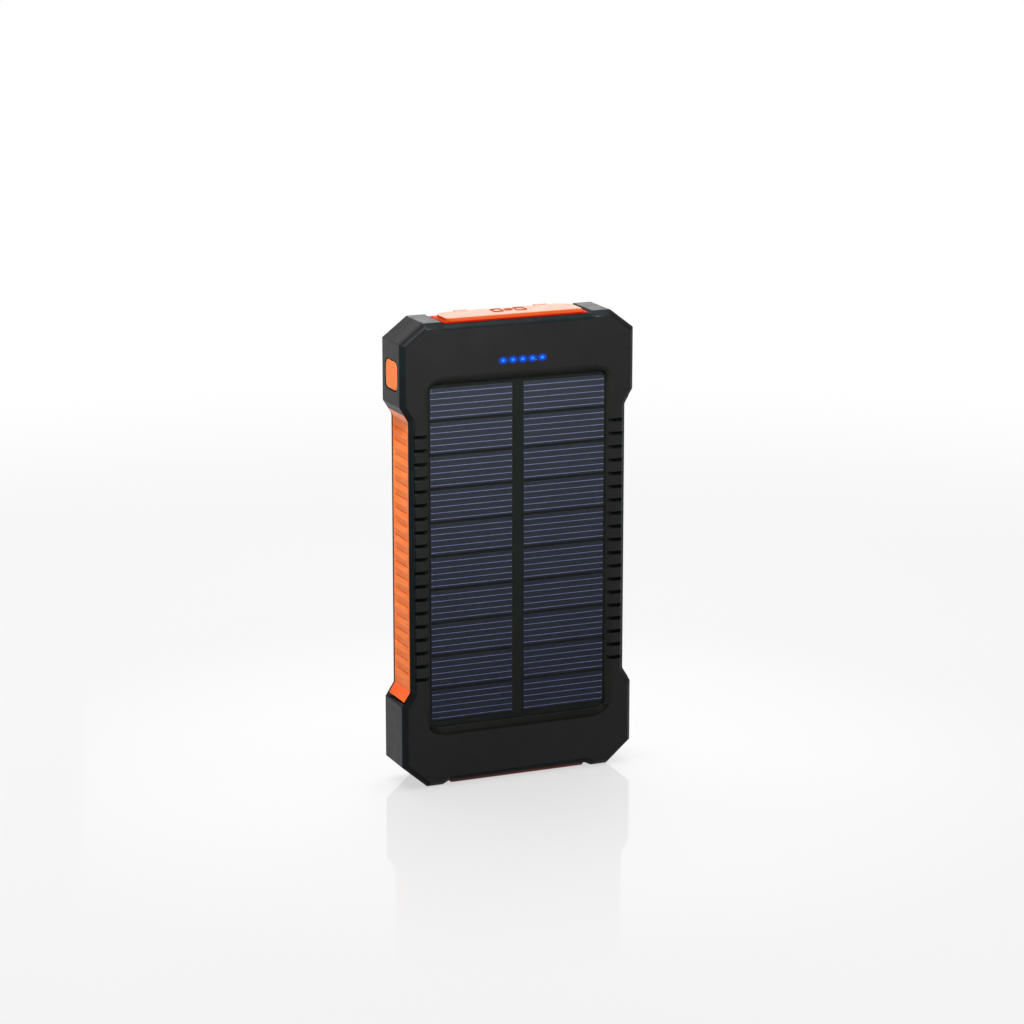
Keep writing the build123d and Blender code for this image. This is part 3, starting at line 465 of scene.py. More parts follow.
def flap_surface():
    """Satin orange rubber, with painted shade, deeper red, on the thin rim round the front and the
    ends.
    """
    surface = moulded(
        "flap_orange", srgb(242, 88, 12), srgb(250, 100, 20), 0.5, Specular_IOR_Level=0.03,
    )
    orange = surface.shader.inputs["Base Color"].links[0].from_socket
    low_down = faded(surface, surface.axis("Z"), RIM_SHADE_Z, 1.0, 0.0, smooth=True)
    front = faded(surface, surface.axis("Y"), RIM_SHADE_FRONT_Y, 1.0, 0.0)
    ends = faded(surface, surface.math("ABSOLUTE", surface.axis("X")), RIM_SHADE_END_X)
    # the rim's deeper red is painted shade on the front skirt and the ends
    rim = surface.math("MULTIPLY", low_down, surface.math("MAXIMUM", front, ends))
    surface.set("Base Color", surface.mix(rim, orange, srgb(236, 38, 12)))
    return surface


keep("flap_orange", flap_surface())
# Paler, glossier orange for the flat tops of the lid and straps: a painted highlight.
keep("flap_crown_highlight", moulded(
    "flap_crown_highlight", srgb(238, 132, 76), srgb(246, 143, 88), 0.3, 0.35, 0.05, 0.01,
    Specular_IOR_Level=0.5, Sheen_Weight=0.1, Sheen_Roughness=0.3, Sheen_Tint=srgb(255, 214, 190),
))
keep("flap_mark", moulded(
    "flap_mark", srgb(196, 88, 44), srgb(212, 104, 56), 0.6, Specular_IOR_Level=0.1,
))
keep("button_orange", moulded(
    "button_orange", srgb(246, 118, 50), srgb(252, 136, 66), 0.55, Specular_IOR_Level=0.2,
))
# Dark red: the strip's orange rubber with the shade of the notch under the case painted in.
keep("strip_red", moulded("strip_red", srgb(92, 18, 20), srgb(118, 26, 27), 0.6))
keep("panel_board", moulded(
    "panel_board", srgb(11, 14, 13), srgb(16, 19, 18), 0.5, Specular_IOR_Level=0.15,
))
keep("adhesive", moulded("adhesive", srgb(200, 200, 192), srgb(225, 224, 214), 0.7))
keep("circuit_board", moulded("circuit_board", srgb(14, 74, 42), srgb(22, 92, 54), 0.45))
keep("chip_black", moulded("chip_black", srgb(24, 24, 26), srgb(40, 40, 42), 0.55))
keep("inductor", moulded("inductor", srgb(62, 60, 58), srgb(84, 82, 78), 0.6))
keep("ceramic", moulded("ceramic", srgb(168, 140, 104), srgb(192, 164, 126), 0.5))
keep("switch_body", moulded("switch_body", srgb(30, 30, 32), srgb(46, 46, 48), 0.5))
keep("socket_plastic", moulded("socket_plastic", srgb(20, 20, 22), srgb(34, 34, 36), 0.45))
keep("foam", moulded("foam", srgb(70, 70, 72), srgb(92, 92, 94), 0.9, grain_mm=0.6, grain=0.5))
keep("wire_red", moulded("wire_red", srgb(168, 20, 20), srgb(196, 34, 30), 0.45))
keep("wire_black", moulded("wire_black", srgb(18, 18, 20), srgb(32, 32, 34), 0.45))


def metal(name, dark, light, roughness, brushed=(1.0, 1.0, 1.0)):
    """Bare metal with fine brushing and uneven gloss."""
    surface = Surface(name, Metallic=1.0)
    clouds = surface.noise(300.0, 4.0)
    lines = surface.noise(2500.0, 3.0, stretch=brushed)
    surface.set("Base Color", surface.mix(surface.remap(clouds, 0.3, 0.7), dark, light))
    surface.set("Roughness", surface.remap(lines, 0.3, 0.7, roughness - 0.08, roughness + 0.1))
    surface.bump([(lines, 0.12, 0.02)])
    return surface


keep("steel", metal("steel", srgb(176, 178, 182), srgb(204, 206, 210), 0.28, (1.0, 1.0, 0.08)))
keep("screw_steel", metal("screw_steel", srgb(120, 122, 126), srgb(160, 162, 166), 0.34))
keep("contact_gold", metal("contact_gold", srgb(206, 160, 74), srgb(228, 186, 100), 0.25))
keep("nickel", metal("nickel", srgb(178, 176, 168), srgb(206, 204, 196), 0.3))
keep("reflector", metal("reflector", srgb(214, 216, 220), srgb(236, 238, 240), 0.12))
keep("pouch_foil", metal("pouch_foil", srgb(168, 170, 174), srgb(196, 198, 202), 0.35))


def solar_cell_surface():
    """Dark blue-grey silicon with a faint slanting grain, and painted light: lighter and greyer
    towards the top, darker and bluer towards the bottom.
    """
    surface = Surface("solar_cell", Specular_IOR_Level=0.2)
    streaks = surface.noise(1600.0, 3.0, 0.6, stretch=(1.0, 1.0, 2.6))
    grains = surface.noise(3200.0, 2.0)
    # painted light: lighter and greyer towards the top, darker and bluer towards the bottom
    height = faded(surface, surface.axis("Z"), PANEL_SHADE_Z)
    shaded_silicon = surface.mix(height, srgb(10, 13, 25), srgb(32, 34, 41))
    lighter = surface.mix(surface.remap(streaks, 0.35, 0.7, 0.0, 0.35), shaded_silicon, srgb(44, 46, 62))
    darker = surface.mix(surface.remap(grains, 0.45, 0.75, 0.0, 0.5), lighter, srgb(15, 17, 24))
    surface.set("Base Color", darker)
    surface.set("Roughness", surface.remap(grains, 0.3, 0.7, 0.34, 0.52))
    surface.bump([(streaks, 0.06, 0.03), (grains, 0.05, 0.02)])
    return surface


keep("solar_cell", solar_cell_surface())


def finger_surface():
    """Thin printed metal lines, a little lilac under the clear layer, with painted light: greyer
    and lighter towards the top.
    """
    surface = Surface("cell_fingers", Metallic=0.2, Specular_IOR_Level=0.2)
    patches = surface.noise(700.0, 4.0)
    # painted light: greyer and lighter towards the top
    height = faded(surface, surface.axis("Z"), PANEL_SHADE_Z)
    tone = surface.mix(height, srgb(82, 86, 138), srgb(106, 106, 136))
    surface.set("Base Color", surface.mix(
        surface.remap(patches, 0.35, 0.7, 0.0, 0.6), tone, srgb(128, 130, 168),
    ))
    surface.set("Roughness", surface.remap(patches, 0.3, 0.7, 0.35, 0.55))
    surface.bump([(surface.noise(5000.0), 0.2, 0.02)])
    return surface


FINGERS = finger_surface().material


def clear_layer(name, roughness, tint=(1.0, 1.0, 1.0, 1.0), mirror=0.9):
    """A clear moulded skin: see-through, with a soft mirror that grows at low angles."""
    surface = Surface(name)
    surface.nodes.remove(surface.shader)
    clear = surface.node("BsdfTransparent", {"Color": tint})
    shine = surface.node("BsdfGlossy", {"Color": (1.0, 1.0, 1.0, 1.0)})
    haze = surface.remap(surface.noise(90.0, 3.0), 0.3, 0.7, roughness - 0.03, roughness + 0.05)
    surface.links.new(haze, shine.inputs["Roughness"])
    ripples = surface.noise(60.0, 1.0)
    wavy = surface.node("Bump", {"Height": ripples, "Strength": 0.02, "Distance": 0.1 * MM})
    surface.links.new(wavy.outputs["Normal"], shine.inputs["Normal"])
    facing = surface.node("LayerWeight", {"Blend": 0.5}).outputs["Facing"]
    share = surface.math("MULTIPLY", surface.math("POWER", facing, 5.0), mirror)
    both = surface.node("MixShader", {0: share, 1: clear.outputs[0], 2: shine.outputs[0]})
    surface.links.new(both.outputs[0], surface.output.inputs["Surface"])
    return surface


keep("panel_cover", clear_layer("panel_cover", 0.12, (0.96, 0.98, 0.97, 1.0), 0.5))
keep("lens", clear_layer("lens", 0.08))


def light_surface(name):
    """A clear post with a blue lamp behind it: bright in the middle, deep blue round it."""
    surface = Surface(name, Roughness=0.3, Base_Color=srgb(2, 12, 60), Specular_IOR_Level=0.1)
    surface.shader.inputs["Emission Strength"].default_value = 1.0
    reach, _ = light_reach(surface)
    uneven = surface.math("MULTIPLY", surface.noise(900.0, 3.0), 0.2 * MM)
    reach = surface.math("ADD", reach, uneven)
    glow = surface.ramp(surface.remap(reach, 0.0, 1.1 * MM), [
        (0.0, (0.10, 0.52, 1.0, 1.0)),
        (0.3, (0.03, 0.34, 1.0, 1.0)),
        (0.55, (0.0, 0.15, 0.95, 1.0)),
        (1.0, (0.0, 0.05, 0.5, 1.0)),
    ])
    surface.set("Emission Color", glow)
    return surface


keep("light_guide", light_surface("light_guide"))
keep("light_chip", moulded("light_chip", srgb(214, 208, 180), srgb(236, 232, 208), 0.35))
keep("torch_chip", moulded("torch_chip", srgb(232, 200, 60), srgb(246, 222, 96), 0.4))


# ---------------------------------------------------------------- camera


CAMERA_AZIMUTH = math.radians(-22.98)
CAMERA_ELEVATION = math.radians(13.81)
CAMERA_DISTANCE = 0.9987
CAMERA_LENS = 117.0
CAMERA_AIM = Vector((0.0, -0.0066, 0.071))
CAMERA_OFFSET = (-0.00175, 0.01121)      # to the right and up, at the camera

turn = -CAMERA_AZIMUTH
back = Vector((
    -math.sin(turn) * math.cos(CAMERA_ELEVATION),
    -math.cos(turn) * math.cos(CAMERA_ELEVATION),
    math.sin(CAMERA_ELEVATION),
))
right = Vector((math.cos(turn), -math.sin(turn), 0.0))
up = back.cross(right)
camera_data = bpy.data.cameras.new("camera")
camera_data.lens = CAMERA_LENS
camera_data.clip_start = 0.05
camera_data.clip_end = 50.0
camera = bpy.data.objects.new("camera", camera_data)
SCENE.collection.objects.link(camera)
camera.location = (
    CAMERA_AIM + back * CAMERA_DISTANCE + right * CAMERA_OFFSET[0] + up * CAMERA_OFFSET[1]
)
camera.rotation_mode = "QUATERNION"
camera.rotation_quaternion = (-back).to_track_quat("-Z", "Y")
SCENE.camera = camera
SCENE.view_settings.view_transform = "Standard"


# ---------------------------------------------------------------- floor and light


FLOOR_RADIUS = 6.0
FLOOR_FADE = (0.30, 0.62)      # from lit floor to plain white, outward
MIRROR_FADE = (0.03, 0.17)     # the mirror image weakens this far from the object
FLOOR_GLOW = 0.6


def build_floor(work):
    bmesh.ops.create_circle(work, cap_ends=True, segments=96, radius=FLOOR_RADIUS)


def floor_surface():
    """White gloss floor: a faint mirror near the object, plain white further away."""
    surface = Surface("floor_white", Specular_IOR_Level=0.5)
    tone = surface.noise(3.0, 2.0)
    white = surface.mix(
        surface.remap(tone, 0.3, 0.7), (0.93, 0.93, 0.93, 1.0), (0.95, 0.95, 0.95, 1.0),
    )
    surface.set("Base Color", white)
    surface.set("Roughness", surface.remap(surface.noise(20.0), 0.3, 0.7, 0.035, 0.06))
    away = surface.node("VectorMath", {0: surface.place}, operation="LENGTH").outputs["Value"]
    matt = surface.node("BsdfDiffuse", {"Color": white})
    dulling = surface.remap(away, MIRROR_FADE[0], MIRROR_FADE[1], 0.15, 1.0)
    lit = surface.node("MixShader", {0: dulling, 1: surface.shader.outputs[0], 2: matt.outputs[0]})
    plain = surface.node("Emission", {"Color": (1.0, 1.0, 1.0, 1.0), "Strength": 1.0})
    fade = surface.remap(away, FLOOR_FADE[0], FLOOR_FADE[1], FLOOR_GLOW, 1.0, smooth=True)
    both = surface.node("MixShader", {0: fade, 1: lit.outputs[0], 2: plain.outputs[0]})
    surface.links.new(both.outputs[0], surface.output.inputs["Surface"])
    return surface


floor = new_piece("floor", mesh_from("floor", build_floor), None, None)
floor.data.materials.append(floor_surface().material)
floor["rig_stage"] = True


def soft_box(name, place, aim, size, power):
    """A large rectangular soft light that looks from a place toward a point."""
    lamp = bpy.data.lights.new(name, "AREA")
    lamp.shape = "RECTANGLE"
    lamp.size, lamp.size_y = size
    lamp.energy = power
    box = bpy.data.objects.new(name, lamp)
    box.location = place
    box.rotation_mode = "QUATERNION"
    box.rotation_quaternion = (Vector(aim) - Vector(place)).to_track_quat("-Z", "Y")
    box.visible_camera = False
    SCENE.collection.objects.link(box)
    return box


ROOM_BACK = 0.8
ROOM_FRONT = 0.09
ROOM_FADE = (-0.9, 0.7)      # how far a direction points to the camera, from bright to dim


def make_world():
    """Pale room: bright overhead and behind, dimmer in front. The camera sees plain white."""
    world = bpy.data.worlds.new("room")
    SCENE.world = world
    world.use_nodes = True
    tree = world.node_tree
    tree.nodes.clear()
    output = tree.nodes.new("ShaderNodeOutputWorld")
    place = tree.nodes.new("ShaderNodeTexCoord")
    facing = tree.nodes.new("ShaderNodeVectorMath")
    facing.operation = "DOT_PRODUCT"
    facing.inputs[1].default_value = (back.x, back.y, 0.0)
    level = tree.nodes.new("ShaderNodeMapRange")
    level.inputs["From Min"].default_value = ROOM_FADE[0]
    level.inputs["From Max"].default_value = ROOM_FADE[1]
    level.inputs["To Min"].default_value = ROOM_BACK
    level.inputs["To Max"].default_value = ROOM_FRONT
    room = tree.nodes.new("ShaderNodeBackground")
    seen = tree.nodes.new("ShaderNodeBackground")
    seen.inputs["Color"].default_value = (1.0, 1.0, 1.0, 1.0)
    rays = tree.nodes.new("ShaderNodeLightPath")
    mix = tree.nodes.new("ShaderNodeMixShader")
    tree.links.new(place.outputs["Generated"], facing.inputs[0])
    tree.links.new(facing.outputs["Value"], level.inputs["Value"])
    tree.links.new(level.outputs["Result"], room.inputs["Strength"])
    tree.links.new(rays.outputs["Is Camera Ray"], mix.inputs[0])
    tree.links.new(room.outputs[0], mix.inputs[1])
    tree.links.new(seen.outputs[0], mix.inputs[2])
    tree.links.new(mix.outputs[0], output.inputs["Surface"])


make_world()
middle = Vector((0.0, 0.0, 0.07))
level_back = Vector((back.x, back.y, 0.0)).normalized()
soft_box("top_light", (0.0, 0.1, 0.9), middle, (0.9, 0.9), 5.6)
soft_box("rear_light", Vector((0.1, -0.04, 0.55)) - level_back * 1.5, middle, (0.9, 0.8), 3.3)
front_light = soft_box(
    "front_light", (-0.05, -0.13, 0.27), (-0.01, 0, 0.11), (0.1, 0.06), 1.25,
)


# ---------------------------------------------------------------- case


LEAST_ANGLE = 18             # degrees; flatter edges are not rounded

# Places on the shells, in millimetres. The front face is at y = -8, and y grows to the rear.
WINDOW_X = 31.2
WINDOW_Z = (15, 127)
WINDOW_BACK_Y = -6.9
LADDER_X = (28.9, 33.8)
LADDER_Z = (32, 110)
LADDER_BACK_Y = -7.15
FACE_Y = -7.97
NEAR_FACE_Y = -7.9
CHAMFER_BACK_Y = -5.6
BAY_X = 25.5
BAY_LOW_Z = 138.5
BAY_FRONT_Y = -6
SEAM_BAND_Y = 6.7
OUTSIDE_X = 34.2
OUTSIDE_Z = (2.5, 139.9)

# Roundings, in millimetres.
SEAM_ROUND = 0.12
WINDOW_ROUND = 0.4
CHAMFER_ROUND = 0.3
SIDE_ROUND = 0.25
RUNG_ROUND = 0.12


def in_window(x, z):
    return abs(x) < WINDOW_X and WINDOW_Z[0] < z < WINDOW_Z[1]


def front_edges(start, end, angle):
    """Rounding of the front shell's edges. The front of the flap's bay stays sharp: rounded, it
    slides up the steps at its ends and into the flap."""
    if angle < LEAST_ANGLE:
        return 0.0
    middle = (start + end) / 2
    outside = abs(middle.x) > OUTSIDE_X or not OUTSIDE_Z[0] <= middle.z <= OUTSIDE_Z[1]
    if abs(middle.x) < BAY_X and middle.z > BAY_LOW_Z and middle.y < BAY_FRONT_Y:
        return 0.0
    if middle.y > SEAM_BAND_Y:
        return SEAM_ROUND if outside else 0.0
    if in_window(middle.x, middle.z) and middle.y < WINDOW_BACK_Y:
        return WINDOW_ROUND if middle.y < NEAR_FACE_Y else 0.0
    if outside:
        return CHAMFER_ROUND if middle.y < CHAMFER_BACK_Y else SIDE_ROUND
    near_ladder = abs(middle.x) > 28 and 30 < middle.z < 112
    return RUNG_ROUND if near_ladder and middle.y < NEAR_FACE_Y else 0.0


def rear_edges(start, end, angle):
    """Rounding of the rear shell's edges: its seam, its rear face and what lies between them."""
    middle = (start + end) / 2
    if angle < LEAST_ANGLE or middle.y < 6.79:
        return 0.0
    if middle.y < 6.9:
        return SEAM_ROUND
    return 0.15 if middle.y > 7.3 else 0.1


def even_edges(width, least_angle=25):
    """The same rounding for every edge sharper than an angle."""
    return lambda start, end, angle: width if angle > least_angle else 0.0


FRONT_FINISHES = [
    "case_black", "case_edge_shade", "window_edge_shade", "rung_shade", "window_sill_shade", "case_corner_shade",
]
case_front = rounded_node("case_front", "front_shell", "case", "case_black", front_edges)
for finish_name in FRONT_FINISHES[1:]:
    case_front.data.materials.append(MATERIALS[finish_name])
# Faces that take painted shade: the window's slopes, the front bevels and corner chamfers, and the
# inside of the ladder's slots.
for polygon in case_front.data.polygons:
    middle_x, middle_y, middle_z = polygon.center / MM
    slanted = 0.5 < abs(polygon.normal.y) < 0.95
    on_corner = abs(polygon.normal.x) > 0.3 and abs(polygon.normal.z) > 0.3
    in_ladder = LADDER_X[0] < abs(middle_x) < LADDER_X[1] and LADDER_Z[0] < middle_z < LADDER_Z[1]
    finish_name = "case_black"
    if in_window(middle_x, middle_z) and FACE_Y < middle_y < -6.95 and slanted:
        finish_name = "window_sill_shade" if polygon.normal.z > 0.3 else "window_edge_shade"
    elif middle_y < -6.3 and slanted:
        finish_name = "case_corner_shade" if on_corner else "case_edge_shade"
    elif in_ladder and FACE_Y < middle_y < LADDER_BACK_Y:
        finish_name = "rung_shade"
    polygon.material_index = FRONT_FINISHES.index(finish_name)
rounded_node("case_rear", "rear_shell", "case", "case_black", rear_edges)
rounded_node("foot_strip", "bottom_grip_strip", "case", "strip_red", even_edges(0.2))
rounded_node("button_cap", "power_button", "power_button", "button_orange", even_edges(0.12, 40))


# ---------------------------------------------------------------- side grips


WAIST_HALF = 34.9
GRIP_THICK = 1.3
GRIP_MARGIN = 1.2
RIB_COUNT = 19
RIB_PITCH = 4.12
TOP_RIB_Z = 109.45
RIB_HALF = 2.0
RIB_DEEP = 0.27
RIB_SLIT = (0.28, 0.22)         # half height and depth of the fine slit in the bottom of each rib
SLANT_TOP = (112.7, 117.3, 2.7)      # waist ends, block side begins, how far it steps out
SLANT_BOTTOM = (30.2, 25.75, 2.7)
BEND_SOFT = 0.006                    # how gently the waist turns into the slants
ROW_STEP = 0.25                      # height of one row of the grip's skin
FRONT_ROUND = (0.45, 0.38)           # how far back and how deep the front edge is rounded
REAR_ROUND = (0.15, 0.12)
END_ROUND = (0.25, 0.15)


def grip_face(z):
    """How far out the grip's face is at height z, without its ribs."""
    out = WAIST_HALF
    for start, end, step in (SLANT_TOP, SLANT_BOTTOM):
        along = (z - start) / (end - start)
        soft = 0.5 * (along + math.sqrt(along * along + BEND_SOFT))
        out += step * max(0.0, soft - 0.5 * math.sqrt(BEND_SOFT) * math.exp(-40 * along * along))
    return out


def rib_depth(z):
    """Depth of the ribs at height z."""
    depth = 0.0
    for index in range(RIB_COUNT):
        off = abs(z - (TOP_RIB_Z - index * RIB_PITCH))
        depth = max(depth, RIB_DEEP * (1 - off / RIB_HALF))
        if off < RIB_SLIT[0]:
            depth = max(depth, RIB_DEEP + RIB_SLIT[1] * (1 - off / RIB_SLIT[0]))
    return depth


def build_grip(side):
    node = "side_grip_left" if side < 0 else "side_grip_right"
    low, high = (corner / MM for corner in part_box(node))
    across = [low.y + FRONT_ROUND[0] * (1 - math.cos(math.radians(18 * step))) for step in range(6)]
    across += [low.y + GRIP_MARGIN - 0.12, low.y + GRIP_MARGIN + 0.02]
    flat = high.y - low.y - 2 * GRIP_MARGIN
    across += [low.y + GRIP_MARGIN + flat * step / 12 for step in range(1, 12)]
    across += [high.y - GRIP_MARGIN - 0.02, high.y - GRIP_MARGIN + 0.12]
    across += [high.y - REAR_ROUND[0], high.y - 0.05, high.y]
    heights = {low.z, high.z}
    for inset in (0.08, END_ROUND[0]):
        heights.update((low.z + inset, high.z - inset))
    rows = int((high.z - low.z - 1) / ROW_STEP) + 1
    heights.update(low.z + 0.5 + step * ROW_STEP for step in range(rows))
    for index in range(RIB_COUNT):
        rib = TOP_RIB_Z - index * RIB_PITCH
        heights.update(rib + off for off in (-RIB_HALF, -RIB_SLIT[0], 0, RIB_SLIT[0], RIB_HALF))

    def outward(y, z):
        out = grip_face(z)
        if low.y + GRIP_MARGIN < y < high.y - GRIP_MARGIN:
            out -= rib_depth(z)
        from_front = max(0.0, 1 - (y - low.y) / FRONT_ROUND[0])
        out -= FRONT_ROUND[1] * (1 - math.sqrt(max(0.0, 1 - from_front * from_front)))
        from_rear = max(0.0, 1 - (high.y - y) / REAR_ROUND[0])
        out -= REAR_ROUND[1] * from_rear * from_rear
        from_end = max(0.0, 1 - min(z - low.z, high.z - z) / END_ROUND[0])
        return out - END_ROUND[1] * from_end * from_end

    def build(work):
        rings = []
        for z in sorted(heights):
            inner = grip_face(z) - GRIP_THICK
            ring = [(side * outward(y, z), y, z) for y in across]
            ring += [(side * inner, high.y, z), (side * inner, low.y, z)]
            rings.append(ring)
        ring_loft(work, rings)

    return build


for side, side_name in ((-1, "left"), (1, "right")):
    grip = new_piece(
        f"grip_{side_name}", mesh_from(f"grip_{side_name}", build_grip(side)),
        "case", "grip_orange", [f"side_grip_{side_name}"],
    )
    smooth_shade(grip, 28)


# ---------------------------------------------------------------- solar panel


CELL_ROWS = 10
FINGERS_PER_CELL = 5
FINGER_PITCH = 1.85
FINGER_WIDE = 0.17
FINGER_THICK = 0.03
FIRST_FINGER = 1.2
DOT_RADIUS = 0.16
cells_low, cells_high = (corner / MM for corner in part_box("solar_cells"))
cover_low, cover_high = (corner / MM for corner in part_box("solar_cover"))
CELL_WIDE = 26.35
CELL_TALL = 9.3
CELL_CORNER = 0.9
cell_pitch = (cells_high.z - cells_low.z - CELL_TALL) / (CELL_ROWS - 1)


def cell_places():
    """Lowest corner of each cell, with its column and its row from the bottom."""
    for column, first_x in enumerate((cells_low.x, cells_high.x - CELL_WIDE)):
        for row in range(CELL_ROWS):
            yield first_x, cells_low.z + row * cell_pitch, column, row


def build_cells(work):
    for x, z, column, row in cell_places():
        radii = [0.12] * 4
        outer = {(0, 0): 0, (1, 0): 1, (1, CELL_ROWS - 1): 2, (0, CELL_ROWS - 1): 3}
        if (column, row) in outer:
            radii[outer[column, row]] = CELL_CORNER
        rings = []
        for y, inset in ((cells_high.y, 0.0), (cells_low.y + 0.05, 0.0), (cells_low.y, 0.05)):
            outline = rounded_rectangle(
                x + inset, x + CELL_WIDE - inset, z + inset, z + CELL_TALL - inset, radii,
            )
            rings.append([(a, y, b) for a, b in outline])
        ring_loft(work, rings)


def build_fingers(work):
    for x, z, _, _ in cell_places():
        for index in range(FINGERS_PER_CELL):
            line_z = z + CELL_TALL - FIRST_FINGER - index * FINGER_PITCH
            low, high = line_z - FINGER_WIDE / 2, line_z + FINGER_WIDE / 2
            outline = rounded_rectangle(x + 0.15, x + CELL_WIDE - 0.15, low, high, [0.1] * 4, 3)
            base = [(a, cells_low.y + 0.01, b) for a, b in outline]
            face = [(a, cells_low.y - FINGER_THICK, b) for a, b in outline]
            ring_loft(work, [base, face])
            for dot_x in (x + 0.5, x + CELL_WIDE - 0.5):
                dot = []
                for y, radius in (
                    (cells_low.y + 0.01, DOT_RADIUS),
                    (cells_low.y - FINGER_THICK - 0.01, 0.8 * DOT_RADIUS),
                ):
                    dot.append([
                        (
                            dot_x + radius * math.cos(math.radians(30 * step)),
                            y,
                            line_z + radius * math.sin(math.radians(30 * step)),
                        )
                        for step in range(12)
                    ])
                ring_loft(work, dot)


def build_cover(work):
    """Clear layer over the cells, with a rounded rim."""
    rings = []
    back_y = cells_low.y - 0.05
    for y, inset in (
        (back_y, 0.0), (cover_low.y + 0.12, 0.0), (cover_low.y + 0.04, 0.04), (cover_low.y, 0.12),
    ):
        outline = rounded_rectangle(
            cover_low.x + inset, cover_high.x - inset, cover_low.z + inset, cover_high.z - inset,
            [2.5 - inset] * 4,
        )
        rings.append([(a, y, b) for a, b in outline])
    ring_loft(work, rings)


new_piece(
    "cell_wafers", mesh_from("cell_wafers", build_cells), "case", "solar_cell", ["solar_cells"],
)
fingers = new_piece("cell_fingers", mesh_from("cell_fingers", build_fingers), "case", "solar_cell")
fingers.data.materials.append(FINGERS)
new_piece(
    "panel_glaze", mesh_from("panel_glaze", build_cover), "case", "panel_cover", ["solar_cover"],
)


# ---------------------------------------------------------------- flap over the sockets


flap_low, flap_high = (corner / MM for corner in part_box("port_flap"))
FLAP_HALF = 23.1
FLAP_REAR_Y = 6.3
CROWN_HALF = 21.9
BODY_HALF = 22.1
SKIRT_LOW_Z = 141.35
SKIRT_HIGH_Z = 141.58
BODY_HIGH_Z = 141.85
SEAT_LOW_Z = 139.35
SEAT_FRONT_Y = -4.9
USB_X = 14.5
USB_PLUG = (11.4, -0.9, 3.0)       # width, front, rear
MICRO_PLUG = (5.6, -1.1, 0.1)
MARK_MID = (0.7, 2.4)
MARK_LINE = 0.45
MARK_RADIUS = 0.6
MARK_RAISE = 0.12
MARKS = [(-3.7, (3.4, 4.4)), (0.0, (2.4, 2.2)), (3.7, (3.4, 4.4))]      # offset, size


def flap_ring(half, front_y, rear_y, z, front_radius, rear_radius=0.0):
    """The flap's outline at height z."""
    rear = rear_radius or front_radius
    radii = [front_radius, front_radius, rear, rear]
    outline = rounded_rectangle(-half, half, front_y, rear_y, radii, 8)
    return [(a, b, z) for a, b in outline]


def build_plug(work, middle_x, plug):
    """One plug under the lid, tapered at its end to find the socket."""
    wide, front_y, rear_y = plug
    rings = []
    for z, inset in (
        (SEAT_LOW_Z + 0.3, 0.0), (flap_low.z + 0.35, 0.0), (flap_low.z + 0.1, 0.12),
        (flap_low.z, 0.25),
    ):
        outline = rounded_rectangle(
            middle_x - wide / 2 + inset, middle_x + wide / 2 - inset,
            front_y + inset, rear_y - inset, [0.4 - inset / 2] * 4, 4,
        )
        rings.append([(a, b, z) for a, b in outline])
    ring_loft(work, rings)


def build_flap(work):
    """Soft lid: a seat inside the bay, a thin skirt, a raised body, a front slope, a flat crown."""
    top = flap_high.z - MARK_RAISE - 0.03
    front = flap_low.y
    seat_half = FLAP_HALF - 0.05
    ring_loft(work, [
        flap_ring(seat_half - 0.4, SEAT_FRONT_Y + 0.4, FLAP_REAR_Y - 0.4, SEAT_LOW_Z, 0.6),
        flap_ring(seat_half - 0.1, SEAT_FRONT_Y + 0.1, FLAP_REAR_Y - 0.1, SEAT_LOW_Z + 0.12, 0.75),
        flap_ring(seat_half, SEAT_FRONT_Y, FLAP_REAR_Y, SEAT_LOW_Z + 0.4, 0.8),
        flap_ring(seat_half, SEAT_FRONT_Y, FLAP_REAR_Y, SKIRT_LOW_Z - 0.1, 0.8),
        flap_ring(seat_half, SEAT_FRONT_Y - 0.3, FLAP_REAR_Y, SKIRT_LOW_Z, 0.9),
        flap_ring(FLAP_HALF, front + 0.15, FLAP_REAR_Y, SKIRT_LOW_Z, 1.0),
        flap_ring(FLAP_HALF, front, FLAP_REAR_Y, SKIRT_LOW_Z + 0.1, 1.1),
        flap_ring(FLAP_HALF, front, FLAP_REAR_Y, SKIRT_HIGH_Z - 0.06, 1.1),
        flap_ring(FLAP_HALF - 0.06, front + 0.03, FLAP_REAR_Y - 0.03, SKIRT_HIGH_Z, 1.1),
        flap_ring(BODY_HALF + 0.1, front + 0.08, 6.24, SKIRT_HIGH_Z + 0.02, 1.9, 4.6),
        flap_ring(BODY_HALF, front + 0.1, 6.2, SKIRT_HIGH_Z + 0.1, 1.9, 4.6),
        flap_ring(BODY_HALF - 0.02, front + 0.14, 6.18, BODY_HIGH_Z - 0.05, 1.9, 4.6),
        flap_ring(BODY_HALF - 0.06, front + 0.3, 6.15, BODY_HIGH_Z + 0.05, 1.8, 4.5),
        flap_ring(BODY_HALF - 0.1, front + 0.55, 6.13, BODY_HIGH_Z + 0.13, 1.7, 4.4),
        flap_ring(CROWN_HALF + 0.05, -4.35, 6.05, top - 0.12, 1.1, 4.2),
        flap_ring(CROWN_HALF, -4.1, 5.98, top - 0.04, 1.0, 4.2),
        flap_ring(CROWN_HALF - 0.2, -3.8, 5.78, top, 0.9, 4.0),
    ])
    for side in (-1, 1):
        build_plug(work, side * USB_X, USB_PLUG)
    build_plug(work, 0.0, MICRO_PLUG)


flap = new_piece(
    "flap_lid", mesh_from("flap_lid", build_flap), "port_flap", "flap_orange", ["port_flap"],
)
flap.data.materials.append(MATERIALS["flap_orange"])
flap.data.materials.append(MATERIALS["flap_crown_highlight"])
# The lid's flat top faces take the paler crown finish: painted highlight.
for polygon in flap.data.polygons:
    if polygon.normal.z > 0.9 and polygon.center.z > 142.2 * MM:
        polygon.material_index = 1
smooth_shade(flap, 50)


